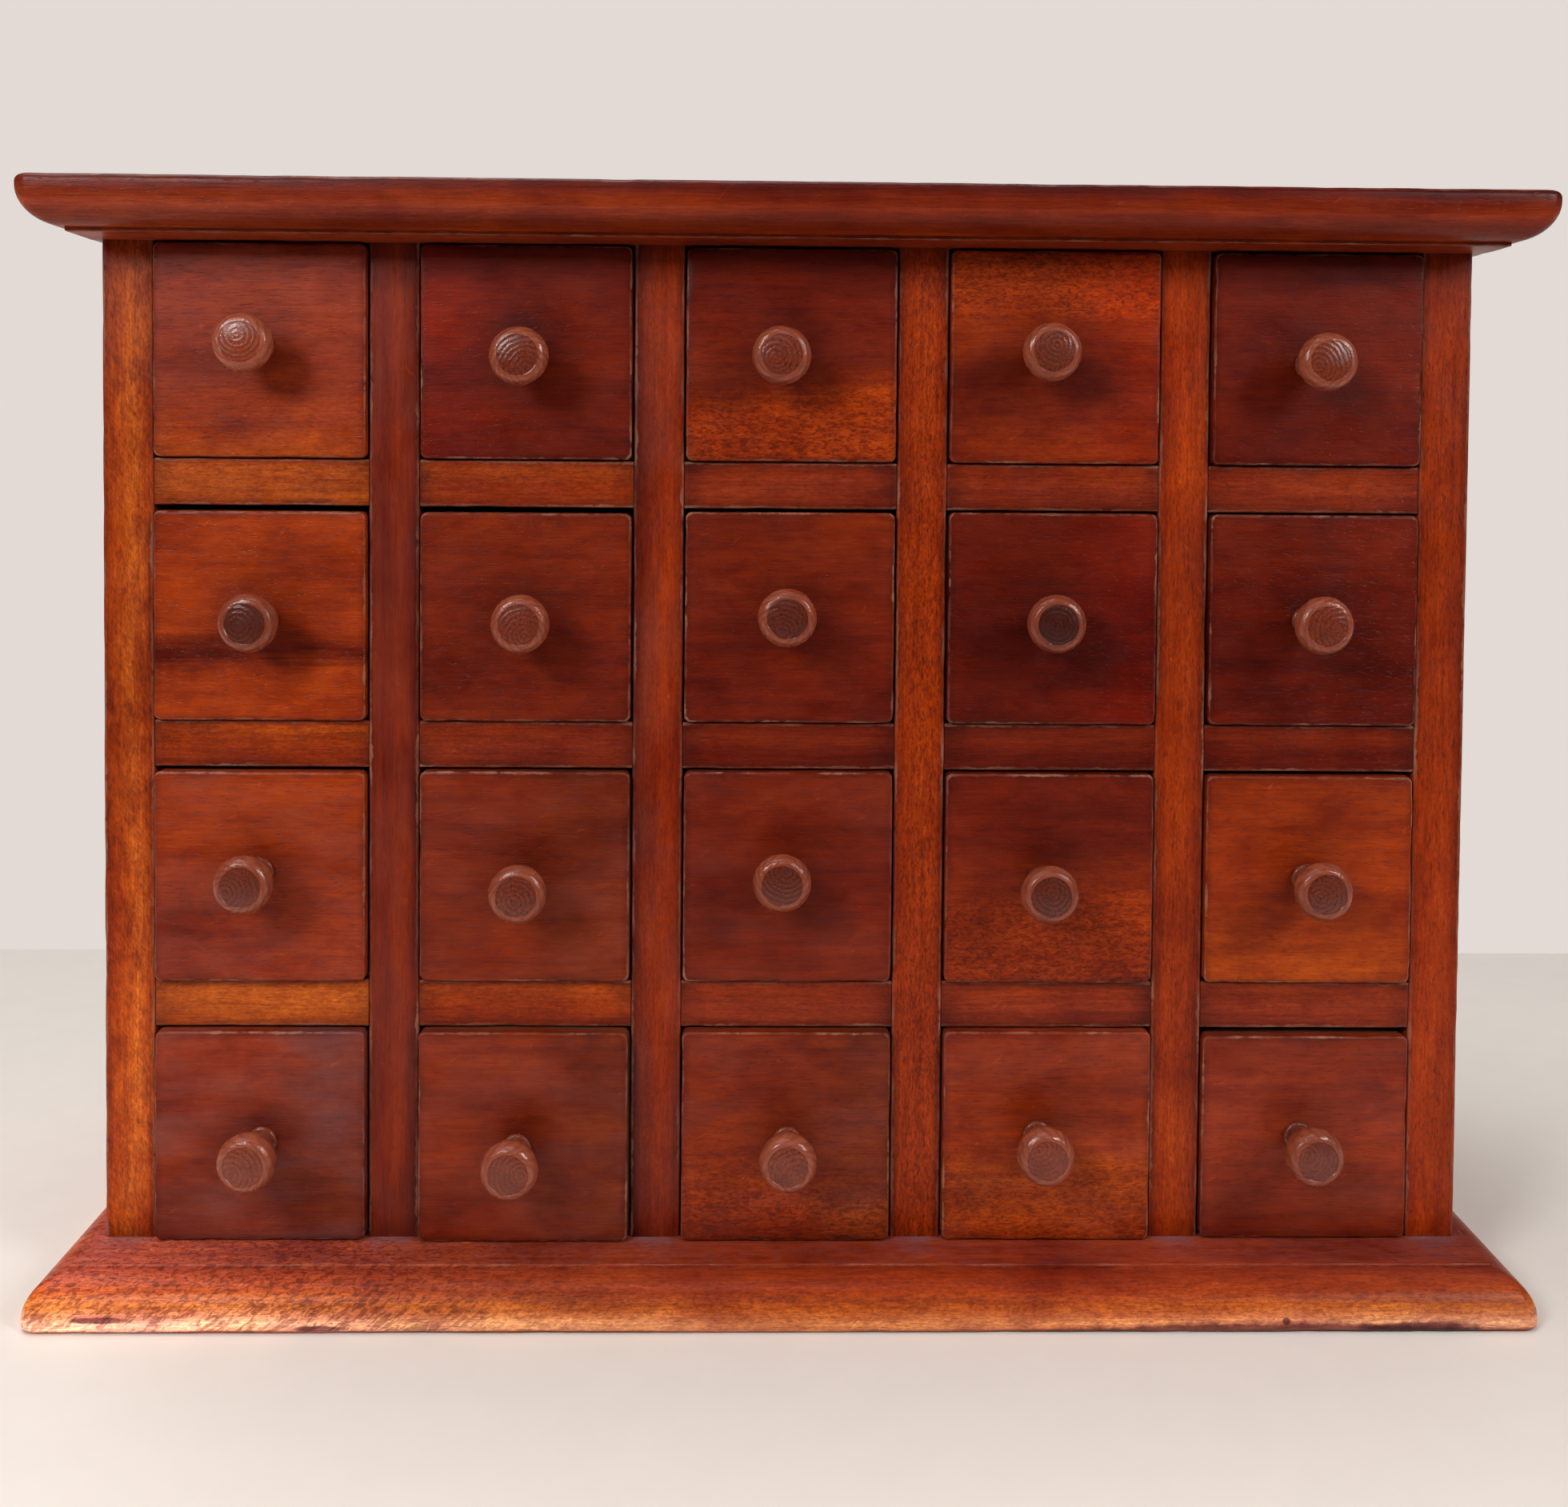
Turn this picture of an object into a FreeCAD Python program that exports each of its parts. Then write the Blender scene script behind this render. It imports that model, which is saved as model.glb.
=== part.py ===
import FreeCAD, Part
import os
from math import asin, cos, sin, sqrt

Vector = FreeCAD.Vector

# A table cabinet of small drawers: a grid of cells between a moulded top board and a moulded
# base board, with a turned knob on every drawer. Millimetres, +X right, +Y back, +Z up. The
# origin is on the table, under the middle of the cabinet.

# Grid of cells
columns = 5
rows = 4
cell_width = 68.0  # clear width of one drawer opening
cell_height = 68.5  # clear height of one drawer opening
upright_thickness = 16.0  # sides and dividers
shelf_thickness = 15.0
case_depth = 140.0  # front edges of the uprights to the back edges of the boards
glue_gap = 0.05  # play on each face of a glued joint

# Housings that carry the shelves in the uprights, and the uprights in the boards
housing_depth = 4.0
housing_stop = 12.0  # a housing stops this far behind the front edge, so that none shows

# Back panel in its rebate
panel_thickness = 4.0
panel_recess = 1.0  # from the back of the cabinet in to the panel
panel_lap = 8.0  # width of the rebate in each side
panel_gap = 0.2  # play round the edge of the panel

# Top and base boards, with the same moulding on the front and both ends
board_thickness = 15.8
front_overhang = 28.5  # nose of the moulding to the front edges of the uprights
side_overhang = 15.4
ovolo_width = 11.4
fillet_height = 1.2  # the small step between the ovolo and the flat
nose_height = 3.4  # upright face below the ovolo
nose_round = 2.2
board_corner = 5.0  # the two front corners, in plan

# Drawers
front_thickness = 14.0
front_lip = 6.0  # part of the front that laps over the ends of the drawer's sides
front_corner = 2.2
front_edge_round = 1.4
side_play = 0.5  # between a drawer and the upright beside it
run_gap = 0.2  # between a drawer and what it runs on
tail_gap = 0.4  # a closed drawer stops this far in front of the back panel
side_thickness = 6.0
side_drop = 3.0  # sides and back stand this far below the top of the front
tail_thickness = 6.0
bottom_thickness = 3.0
bottom_rise = 4.0  # under the bottom panel
bottom_groove = 3.0  # how deep the bottom is let into the front and sides

# Each front is planed to its own opening. Rows run from the top, columns from the left.
head_gap = [
    [0.6, 0.5, 0.7, 0.6, 0.7],
    [1.7, 1.7, 0.9, 0.5, 0.5],
    [1.1, 0.7, 0.5, 0.7, 1.1],
    [0.7, 0.5, 0.5, 0.4, 2.1],
]
stand_out = [
    [2.2, 2.0, 2.4, 2.2, 2.6],
    [2.4, 2.2, 2.0, 2.4, 2.2],
    [2.6, 2.4, 2.2, 2.6, 2.0],
    [3.0, 4.2, 3.6, 3.0, 1.8],
]

# Each knob hole was bored by eye: right of the middle of its front, and above it
knob_shift = [
    [(0.0, 1.0), (0.0, -2.2), (-3.4, -1.2), (-4.1, 0.5), (-2.9, -1.7)],
    [(1.5, -0.7), (0.7, -0.5), (-1.0, 1.5), (-1.7, 0.0), (-2.4, 0.0)],
    [(0.0, 1.7), (0.2, -1.2), (-2.0, 2.4), (-2.7, -0.7), (-1.0, 0.5)],
    [(1.0, -1.5), (-1.8, -3.4), (0.5, -1.2), (-3.0, 0.4), (-2.2, 0.5)],
]

# Turned knobs
knob_radius = 9.15
knob_projection = 19.0
knob_foot_radius = 4.8
knob_foot_height = 1.4
knob_foot_bulge = 0.2  # the foot ring swells this far at half its height
knob_foot_draw = 0.35  # and is drawn in this far at its top
knob_neck_radius = 3.7
knob_head_height = 7.4  # lip of the underside to the crown
knob_lip_radius = 8.25  # where the cove runs out under the head
knob_lip_height = 3.3  # from there up to the widest part of the head
knob_face_radius = 6.4  # the flat inside the rounded rim
knob_face_sink = 0.35  # depth of the turned line round that flat
knob_dome = 0.3  # rise of the flat at its middle
spigot_radius = 4.0
spigot_length = 9.0

# Screws up through the base board
screw_length = 30.0
screw_radius = 2.0
screw_head_radius = 4.0
screw_head_height = 2.0
screw_sink = 0.6  # head below the face of the board
screw_slot_width = 1.1
screw_slot_depth = 0.9
screw_gap = 0.05

# Pins through the back panel, one in each upright beside every row of drawers
pin_length = 16.0  # under its head
pin_radius = 0.8
pin_head_radius = 1.6
pin_head_height = 0.7
pin_gap = 0.05

# Dowels between the top board and the uprights
dowel_radius = 3.0
dowel_in_board = 6.0
dowel_in_upright = 16.0

# Screws and dowels stand in these two rows
fastener_from_front = 35.0
fastener_from_panel = 25.0

# Planes that everything is set from
pitch_x = cell_width + upright_thickness
pitch_z = cell_height + shelf_thickness
case_width = columns * pitch_x + upright_thickness
case_height = rows * pitch_z - shelf_thickness
board_width = case_width + 2 * side_overhang
board_depth = front_overhang + case_depth
y_nose = -board_depth / 2
y_front = y_nose + front_overhang
y_back = y_nose + board_depth
y_panel = y_back - panel_recess - panel_thickness
y_stop = y_front + housing_stop
z_case = board_thickness
z_top = z_case + case_height
upright_x = [(i - columns / 2) * pitch_x for i in range(columns + 1)]
fastener_y = [y_front + fastener_from_front, y_panel - fastener_from_panel]
side_pin_x = case_width / 2 - upright_thickness + panel_lap / 2  # in the middle of the rebate
pin_x = [-side_pin_x] + upright_x[1:-1] + [side_pin_x]
pin_z = [z_case + row * pitch_z + cell_height / 2 for row in range(rows)]

overcut = 1.0  # cutting tools stand this far out of the wood
hair = 0.01  # edges this near a plane lie in it
quarter = 1 - 1 / sqrt(2)  # from a quarter arc's corner in to its middle, in radii


def block(x0, x1, y0, y1, z0, z1):
    return Part.makeBox(x1 - x0, y1 - y0, z1 - z0, Vector(x0, y0, z0))


def line(start, end):
    return Part.LineSegment(start, end).toShape()


def arc(start, middle, end):
    return Part.Arc(start, middle, end).toShape()


def prism(edges, travel):
    outline = Part.Wire(Part.__sortEdges__(edges))
    return Part.Face(outline).extrude(travel)


def turned(edges, axis_point, axis):
    outline = Part.Wire(Part.__sortEdges__(edges))
    return Part.Face(outline).revolve(axis_point, axis, 360)


def nose_edges(place):
    """Section of the moulding from the flat face round the nose to the fillet.

    place(u, z) gives the point that lies u in from the nose, at height z.
    """
    ovolo_top = board_thickness - fillet_height
    ovolo_rise = ovolo_top - nose_height
    round_middle = place(nose_round * quarter, nose_round * quarter)
    ovolo_middle = place(ovolo_width * quarter, ovolo_top - ovolo_rise * quarter)
    return [
        arc(place(nose_round, 0), round_middle, place(0, nose_round)),
        line(place(0, nose_round), place(0, nose_height)),
        arc(place(0, nose_height), ovolo_middle, place(ovolo_width, ovolo_top)),
        line(place(ovolo_width, ovolo_top), place(ovolo_width, board_thickness)),
    ]


def moulded_board():
    """Board with its moulding upwards.

    The front section run from end to end meets the end section run from front to back, and
    what they share has true mitres at the two front corners. Their points are then rounded off.
    """
    half = board_width / 2

    def at_front(u, z):
        return Vector(-half, y_nose + u, z)

    def at_left(u, z):
        return Vector(u - half, y_nose, z)

    def at_right(u, z):
        return Vector(half - u, y_nose, z)

    front_section = nose_edges(at_front) + [
        line(at_front(ovolo_width, board_thickness), at_front(board_depth, board_thickness)),
        line(at_front(board_depth, board_thickness), at_front(board_depth, 0)),
        line(at_front(board_depth, 0), at_front(nose_round, 0)),
    ]
    end_section = nose_edges(at_left) + nose_edges(at_right) + [
        line(at_left(ovolo_width, board_thickness), at_right(ovolo_width, board_thickness)),
        line(at_left(nose_round, 0), at_right(nose_round, 0)),
    ]
    run_across = prism(front_section, Vector(board_width, 0, 0))
    run_back = prism(end_section, Vector(0, board_depth, 0))
    blank = block(-half, half, y_nose, y_back, 0, board_thickness)
    front_corners = [
        edge for edge in blank.Edges
        if abs(edge.tangentAt(0).z) > 0.5 and edge.BoundBox.YMax < y_nose + hair
    ]
    rounded = blank.makeFillet(board_corner, front_corners)
    board = run_across.common(run_back).common(rounded)
    for x in upright_x:
        board = board.cut(
            block(
                x - upright_thickness / 2 - glue_gap,
                x + upright_thickness / 2 + glue_gap,
                y_stop - glue_gap,
                y_panel,
                board_thickness - housing_depth,
                board_thickness + overcut,
            )
        )
    return board


def screw_body(x, y, gap):
    """A countersunk screw, point up, or with a gap the hole that it goes in."""
    head = screw_head_radius + gap
    shank = screw_radius + gap
    foot = Vector(x, y, screw_sink)
    cone = Part.makeCone(head, shank, screw_head_height, foot)
    return cone.fuse(Part.makeCylinder(shank, screw_length + gap, foot)).removeSplitter()


def screw(x, y):
    slot = block(
        x - screw_head_radius,
        x + screw_head_radius,
        y - screw_slot_width / 2,
        y + screw_slot_width / 2,
        screw_sink - overcut,
        screw_sink + screw_slot_depth,
    )
    return screw_body(x, y, 0).cut(slot)


def screw_hole(x, y):
    mouth = Part.makeCylinder(screw_head_radius + screw_gap, screw_sink + overcut, Vector(x, y, -overcut))
    return screw_body(x, y, screw_gap).fuse(mouth)


def dowel_body(x, y, gap):
    foot = z_top - dowel_in_upright - gap
    head = z_top + housing_depth + dowel_in_board + gap
    return Part.makeCylinder(dowel_radius + gap, head - foot, Vector(x, y, foot))


def pin_body(x, z, gap):
    """A pin driven in from the back, or with a gap the hole that it goes in."""
    length = pin_length + gap
    start = Vector(x, y_panel + panel_thickness - length, z)
    return Part.makeCylinder(pin_radius + gap, length, start, Vector(0, 1, 0))


def pin(x, z):
    seat = Vector(x, y_panel + panel_thickness, z)
    head = Part.makeCylinder(pin_head_radius, pin_head_height, seat, Vector(0, 1, 0))
    return pin_body(x, z, 0).fuse(head).removeSplitter()


def base_board():
    board = moulded_board()
    for x in upright_x:
        for y in fastener_y:
            board = board.cut(screw_hole(x, y))
    return board


def top_board():
    turned_over = moulded_board().mirror(Vector(0, 0, board_thickness / 2), Vector(0, 0, 1))
    board = turned_over.translated(Vector(0, 0, z_top))
    for x in upright_x:
        for y in fastener_y:
            board = board.cut(dowel_body(x, y, glue_gap))
    return board


def shelf_floor(level):
    """Underside of the shelves at a level, counted up from the base board."""
    return z_case + level * pitch_z - shelf_thickness


def upright(index):
    """A side or divider, with tongues for the boards and stopped housings for the shelves."""
    x = upright_x[index]
    left = x - upright_thickness / 2
    right = x + upright_thickness / 2
    is_left_side = index == 0
    is_right_side = index == columns
    depth_end = y_back if is_left_side or is_right_side else y_panel
    tongue = housing_depth - glue_gap
    body = block(left, right, y_front, depth_end, z_case, z_top)
    body = body.fuse(block(left, right, y_stop, y_panel, z_case - tongue, z_top + tongue))
    if is_left_side:
        body = body.cut(block(right - panel_lap, right, y_panel, y_back, z_case, z_top))
    if is_right_side:
        body = body.cut(block(left, left + panel_lap, y_panel, y_back, z_case, z_top))
    for level in range(1, rows):
        z0 = shelf_floor(level) - glue_gap
        z1 = shelf_floor(level) + shelf_thickness + glue_gap
        if not is_left_side:
            body = body.cut(block(left, left + housing_depth, y_stop, y_panel, z0, z1))
        if not is_right_side:
            body = body.cut(block(right - housing_depth, right, y_stop, y_panel, z0, z1))
    for y in fastener_y:
        body = body.cut(screw_body(x, y, screw_gap))
        body = body.cut(dowel_body(x, y, glue_gap))
    for z in pin_z:
        body = body.cut(pin_body(pin_x[index], z, pin_gap))
    return body.removeSplitter()


def shelf(column, level):
    """One shelf: its front butts between the uprights, the rest is let into them."""
    middle = (upright_x[column] + upright_x[column + 1]) / 2
    narrow = cell_width / 2 - glue_gap
    wide = narrow + housing_depth
    shoulder = y_stop + glue_gap
    plan = [
        (-narrow, y_front),
        (narrow, y_front),
        (narrow, shoulder),
        (wide, shoulder),
        (wide, y_panel),
        (-wide, y_panel),
        (-wide, shoulder),
        (-narrow, shoulder),
    ]
    corners = [Vector(middle + x, y, shelf_floor(level)) for x, y in plan]
    outline = Part.makePolygon(corners + corners[:1])
    return Part.Face(outline).extrude(Vector(0, 0, shelf_thickness))


def back_panel():
    reach = case_width / 2 - upright_thickness + panel_lap - panel_gap
    y_out = y_panel + panel_thickness
    panel = block(-reach, reach, y_panel, y_out, z_case + panel_gap, z_top - panel_gap)
    for x in pin_x:
        for z in pin_z:
            panel = panel.cut(pin_body(x, z, pin_gap))
    return panel


class Drawer:
    """Sizes of the drawer in one cell, and its pieces."""

    def __init__(self, row, column):
        self.x = (upright_x[column] + upright_x[column + 1]) / 2
        self.half = cell_width / 2 - side_play
        self.foot = z_case + (rows - 1 - row) * pitch_z + run_gap
        self.height = cell_height - run_gap - head_gap[row][column]
        self.rim = self.foot + self.height - side_drop
        self.y_face = y_front - stand_out[row][column]
        shift_right, shift_up = knob_shift[row][column]
        self.knob_seat = Vector(
            self.x + shift_right, self.y_face, self.foot + self.height / 2 + shift_up
        )
        self.y_inner = self.y_face + front_thickness
        self.y_tail = y_panel - tail_gap
        self.inner = self.half - side_thickness
        self.panel_foot = self.foot + bottom_rise
        self.panel_head = self.panel_foot + bottom_thickness

    def span(self, x0, x1, y0, y1, z0, z1):
        return block(self.x + x0, self.x + x1, y0, y1, z0, z1)

    def slab(self):
        """Plain front with rounded corners and an eased edge all round its face."""
        board = self.span(
            -self.half, self.half, self.y_face, self.y_inner, self.foot, self.foot + self.height
        )
        corners = [edge for edge in board.Edges if abs(edge.tangentAt(0).y) > 0.5]
        board = board.makeFillet(front_corner, corners)
        rim = [edge for edge in board.Edges if edge.BoundBox.YMax < self.y_face + hair]
        return board.makeFillet(front_edge_round, rim)

    def front(self):
        board = self.slab()
        top = self.foot + self.height
        for x0, x1 in ((-self.half - overcut, -self.inner), (self.inner, self.half + overcut)):
            board = board.cut(
                self.span(
                    x0,
                    x1,
                    self.y_face + front_lip,
                    self.y_inner + overcut,
                    self.foot - overcut,
                    top + overcut,
                )
            )
        groove = self.span(
            -self.inner,
            self.inner,
            self.y_inner - bottom_groove,
            self.y_inner,
            self.panel_foot - glue_gap,
            self.panel_head + glue_gap,
        )
        hole = Part.makeCylinder(
            spigot_radius + glue_gap, spigot_length + glue_gap, self.knob_seat, Vector(0, 1, 0)
        )
        return board.cut(groove).cut(hole)

    def side(self, sign):
        outer = sign * self.half
        inner = sign * self.inner
        floor = sign * (self.inner + bottom_groove)
        y_start = self.y_face + front_lip + glue_gap
        board = self.span(
            min(outer, inner), max(outer, inner), y_start, self.y_tail, self.foot, self.rim
        )
        groove = self.span(
            min(floor, inner),
            max(floor, inner),
            y_start,
            self.y_tail,
            self.panel_foot - glue_gap,
            self.panel_head + glue_gap,
        )
        return board.cut(groove)

    def tail(self):
        reach = self.inner - glue_gap
        y_start = self.y_tail - tail_thickness
        return self.span(-reach, reach, y_start, self.y_tail, self.panel_head + glue_gap, self.rim)

    def bottom(self):
        reach = self.inner + bottom_groove - glue_gap
        y_start = self.y_inner - bottom_groove + glue_gap
        return self.span(-reach, reach, y_start, self.y_tail, self.panel_foot, self.panel_head)

    def pieces(self):
        return [self.front(), self.side(-1), self.side(1), self.tail(), self.bottom()]

    def knob(self):
        """Knob turned in one piece with its spigot: foot ring, cove, rolled head and flat."""

        def at(radius, out):
            return Vector(radius, -out, 0)

        crown = knob_projection - knob_dome
        head_start = knob_projection - knob_head_height
        widest = head_start + knob_lip_height
        head_rise = crown - widest
        cove_depth = head_start - knob_foot_height
        cove_radius = knob_lip_radius - knob_neck_radius
        cove_middle = at(
            knob_neck_radius + cove_radius * quarter, head_start - cove_depth * quarter
        )
        foot_waist = knob_foot_radius - knob_foot_draw
        line_foot = at(knob_face_radius - knob_face_sink, crown - knob_face_sink)
        roll = at(
            knob_radius - (knob_radius - knob_face_radius) * quarter, crown - head_rise * quarter
        )
        cap_chord = knob_face_radius - knob_face_sink
        cap_rise = knob_dome + knob_face_sink
        cap_radius = (cap_chord**2 + cap_rise**2) / (2 * cap_rise)
        cap_turn = asin(cap_chord / cap_radius) / 2
        cap_middle = at(
            cap_radius * sin(cap_turn), knob_projection - cap_radius * (1 - cos(cap_turn))
        )
        edges = [
            line(at(0, -spigot_length), at(spigot_radius, -spigot_length)),
            line(at(spigot_radius, -spigot_length), at(spigot_radius, 0)),
            line(at(spigot_radius, 0), at(knob_foot_radius, 0)),
            arc(
                at(knob_foot_radius, 0),
                at(knob_foot_radius + knob_foot_bulge, knob_foot_height / 2),
                at(foot_waist, knob_foot_height),
            ),
            line(at(foot_waist, knob_foot_height), at(knob_neck_radius, knob_foot_height)),
            arc(at(knob_neck_radius, knob_foot_height), cove_middle, at(knob_lip_radius, head_start)),
            line(at(knob_lip_radius, head_start), at(knob_radius, widest)),
            arc(at(knob_radius, widest), roll, at(knob_face_radius, crown)),
            line(at(knob_face_radius, crown), line_foot),
            arc(line_foot, cap_middle, at(0, knob_projection)),
            line(at(0, knob_projection), at(0, -spigot_length)),
        ]
        knob = turned(edges, Vector(0, 0, 0), Vector(0, 1, 0))
        return knob.translated(self.knob_seat)


nodes = {
    "top_board": [top_board()],
    "base_board": [base_board()],
    "side_left": [upright(0)],
    "side_right": [upright(columns)],
    "back_panel": [back_panel()],
    "base_screws": [screw(x, y) for x in upright_x for y in fastener_y],
    "panel_pins": [pin(x, z) for x in pin_x for z in pin_z],
    "top_dowels": [dowel_body(x, y, 0) for x in upright_x for y in fastener_y],
}
for index in range(1, columns):
    nodes[f"divider_{index}"] = [upright(index)]
for level in range(1, rows):
    nodes[f"shelf_row_{level}"] = [shelf(column, level) for column in range(columns)]
for row in range(rows):
    for column in range(columns):
        place = f"r{row + 1}c{column + 1}"
        drawer = Drawer(row, column)
        nodes[f"drawer_{place}"] = drawer.pieces()
        nodes[f"knob_{place}"] = [drawer.knob()]

os.makedirs("parts", exist_ok=True)
for name, solids in nodes.items():
    shape = solids[0] if len(solids) == 1 else Part.makeCompound(solids)
    shape.exportStep(f"parts/{name}.step")
    print(name, len(solids), "solids,", round(shape.Volume), "mm3,", "ok" if shape.isValid() else "INVALID")
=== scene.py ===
import math

import bmesh
import bpy
import numpy as np
from mathutils import Matrix, Vector


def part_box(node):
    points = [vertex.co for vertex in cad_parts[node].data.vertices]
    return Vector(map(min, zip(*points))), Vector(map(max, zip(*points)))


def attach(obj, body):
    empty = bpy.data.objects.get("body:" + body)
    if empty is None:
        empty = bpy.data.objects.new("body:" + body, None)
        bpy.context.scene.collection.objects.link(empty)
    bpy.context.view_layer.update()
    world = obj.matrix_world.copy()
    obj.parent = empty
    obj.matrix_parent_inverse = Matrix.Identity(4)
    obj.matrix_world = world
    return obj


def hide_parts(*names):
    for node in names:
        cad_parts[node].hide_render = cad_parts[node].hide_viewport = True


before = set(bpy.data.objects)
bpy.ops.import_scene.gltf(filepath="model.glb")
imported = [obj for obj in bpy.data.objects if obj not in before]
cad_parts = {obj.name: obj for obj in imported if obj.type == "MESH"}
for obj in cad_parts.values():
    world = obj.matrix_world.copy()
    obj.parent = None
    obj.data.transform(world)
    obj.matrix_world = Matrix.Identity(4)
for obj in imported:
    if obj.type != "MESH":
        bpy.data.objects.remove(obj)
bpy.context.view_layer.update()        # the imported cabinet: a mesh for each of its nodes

# Spice drawer cabinet: twenty small drawers with turned knobs between a moulded top board and a
# moulded base board. Shapes are worked out in millimetres in the frame's own axes (+X right, +Y back,
# +Z up) and become metres when they are put into a mesh.

mm = 0.001
rows = 4  # of drawers, from the top
columns = 5  # from the left


def boxMm(node):
    # lowest and highest corner of a node of the frame, in millimetres
    low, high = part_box(node)
    return np.array(low) / mm, np.array(high) / mm


# places on the case that several pieces share, in millimetres
caseFoot = boxMm("base_board")[1][2]
caseHead = boxMm("top_board")[0][2]
caseFront = boxMm("side_left")[0][1]
uprightNames = ["side_left"] + [f"divider_{i}" for i in range(1, columns)] + ["side_right"]
uprightFaces = [(low[0], high[0]) for low, high in map(boxMm, uprightNames)]

# what every point of a surface says of itself: how far the nearest arris, end of the board and crease
# are, and shares from 0 to 1 of bare wood, end grain, dust, and dirt with painted shade round a knob
markDefaults = {
    "edgeMm": 20.0,
    "endMm": 60.0,
    "creaseMm": 20.0,
    "raw": 0.0,
    "endGrain": 0.0,
    "dust": 0.0,
    "handled": 0.0,
}


def surface(points, normals=None, **marks):
    # a grid of points (rows x columns x 3) with a value of each mark at every point
    shape = points.shape[:2]
    index = np.arange(shape[0] * shape[1]).reshape(shape)
    quads = np.stack([index[:-1, :-1], index[:-1, 1:], index[1:, 1:], index[1:, :-1]], -1)
    values = {}
    for name, value in {**markDefaults, **marks}.items():
        values[name] = np.broadcast_to(np.asarray(value, float), shape).ravel()
    return {
        "points": points.reshape(-1, 3),
        "normals": None if normals is None else normals.reshape(-1, 3),
        "quads": quads.reshape(-1, 4),
        "marks": values,
    }


def softWaves(points, length, seed, count=12):
    # soft uneven noise, mostly within -1 to 1: a sum of sine waves in random directions whose crests
    # lie about the given length apart
    random = np.random.default_rng(seed)
    directions = random.normal(size=(count, 3))
    directions /= np.linalg.norm(directions, axis=1, keepdims=True)
    lengths = length * random.uniform(0.6, 1.8, count)
    phases = random.uniform(0, 2 * np.pi, count)
    waves = np.sin(points @ (directions / lengths[:, None]).T * 2 * np.pi + phases)
    return waves.sum(-1) / math.sqrt(count)


def wearDown(surfaces, edgeWear, hollow, seed):
    # points sink along their normals: near an arris by the edge wear times noise, which dies away
    # within a millimetre or two, and elsewhere by the shallow hollows that a hand plane leaves. Dents
    # come about 17 and 5 mm apart, hollows 55 mm
    for part in surfaces:
        points = part["points"]
        nearEdge = np.exp(-part["marks"]["edgeMm"] / 1.1)
        dents = np.clip(softWaves(points, 17, seed) + softWaves(points, 5, seed + 1) * 0.6, 0, 2)
        hollows = (softWaves(points, 55, seed + 2) * 0.5 + 0.5).clip(0, 1)
        sink = edgeWear * dents * nearEdge + hollow * hollows * (1 - nearEdge)
        part["points"] = points - part["normals"] * sink[:, None]
    return surfaces


def makePiece(name, surfaces, materials, body, nodes):
    # joins the surfaces, welds their shared borders, caps what is still open and turns faces outwards
    mesh = bpy.data.meshes.new(name)
    starts = np.cumsum([0] + [len(part["points"]) for part in surfaces[:-1]])
    quads = np.concatenate([part["quads"] + start for part, start in zip(surfaces, starts)])
    points = np.concatenate([part["points"] for part in surfaces]) * mm
    mesh.from_pydata(points.tolist(), [], quads.tolist())
    faceMaterials = np.concatenate(
        [np.full(len(part["quads"]), part.get("material", 0), np.int32) for part in surfaces]
    )
    mesh.polygons.foreach_set("material_index", faceMaterials)
    for mark in surfaces[0]["marks"]:
        values = np.concatenate([part["marks"][mark] for part in surfaces]).astype(np.float32)
        mesh.attributes.new(mark, "FLOAT", "POINT").data.foreach_set("value", values)
    shell = bmesh.new()
    shell.from_mesh(mesh)
    bmesh.ops.remove_doubles(shell, verts=shell.verts, dist=0.004 * mm)
    openEdges = [edge for edge in shell.edges if edge.is_boundary]
    bmesh.ops.holes_fill(shell, edges=openEdges, sides=0)
    bmesh.ops.recalc_face_normals(shell, faces=shell.faces)
    shell.to_mesh(mesh)
    shell.free()
    mesh.shade_smooth()
    mesh.set_sharp_from_angle(angle=math.radians(50))  # a steeper arris stays crisp
    piece = bpy.data.objects.new(name, mesh)
    bpy.context.scene.collection.objects.link(piece)
    for material in materials:
        mesh.materials.append(material)
    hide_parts(*nodes)
    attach(piece, body)
    return piece


def ruled(start, end, near, step):
    # places from start to end: the near distances from both ends, and about a step apart between
    near = np.array([distance for distance in near if distance < (end - start) / 2 - 0.05])
    inner = end - start - 2 * near[-1]
    count = max(1, round(inner / step))
    middle = start + near[-1] + inner * np.arange(count + 1) / count
    return np.concatenate([start + near[:-1], middle, (end - near[:-1])[::-1]])


def roundedBox(low, high, radius, step, grain, **marks):
    # board with rounded arrises: each of the six faces is a grid, and a point is pulled onto the
    # sphere of the given radius round the nearest point of the box that is smaller by that radius.
    # Grid lines crowd towards the arrises, where the wear is; grain is the axis that the grain follows
    low = np.array(low, float)
    high = np.array(high, float)
    near = [0, 0.45 * radius, radius, radius + 0.8, radius + 2.2, radius + 5]
    lines = [ruled(low[axis], high[axis], near, step) for axis in range(3)]
    faces = []
    for axis in range(3):
        across, along = [other for other in range(3) if other != axis]
        u, v = np.meshgrid(lines[across], lines[along], indexing="ij")
        for side in (low[axis], high[axis]):
            flat = np.empty(u.shape + (3,))
            flat[..., axis] = side
            flat[..., across] = u
            flat[..., along] = v
            inner = np.clip(flat, low + radius, high - radius)
            out = flat - inner
            out /= np.linalg.norm(out, axis=-1, keepdims=True)
            gaps = np.minimum(flat - low, high - flat)
            given = dict(
                edgeMm=np.sort(gaps, axis=-1)[..., 1],
                endMm=gaps[..., grain],
                endGrain=float(axis == grain),
            )
            faces.append(surface(inner + radius * out, out, **{**given, **marks}))
    return faces


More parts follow.
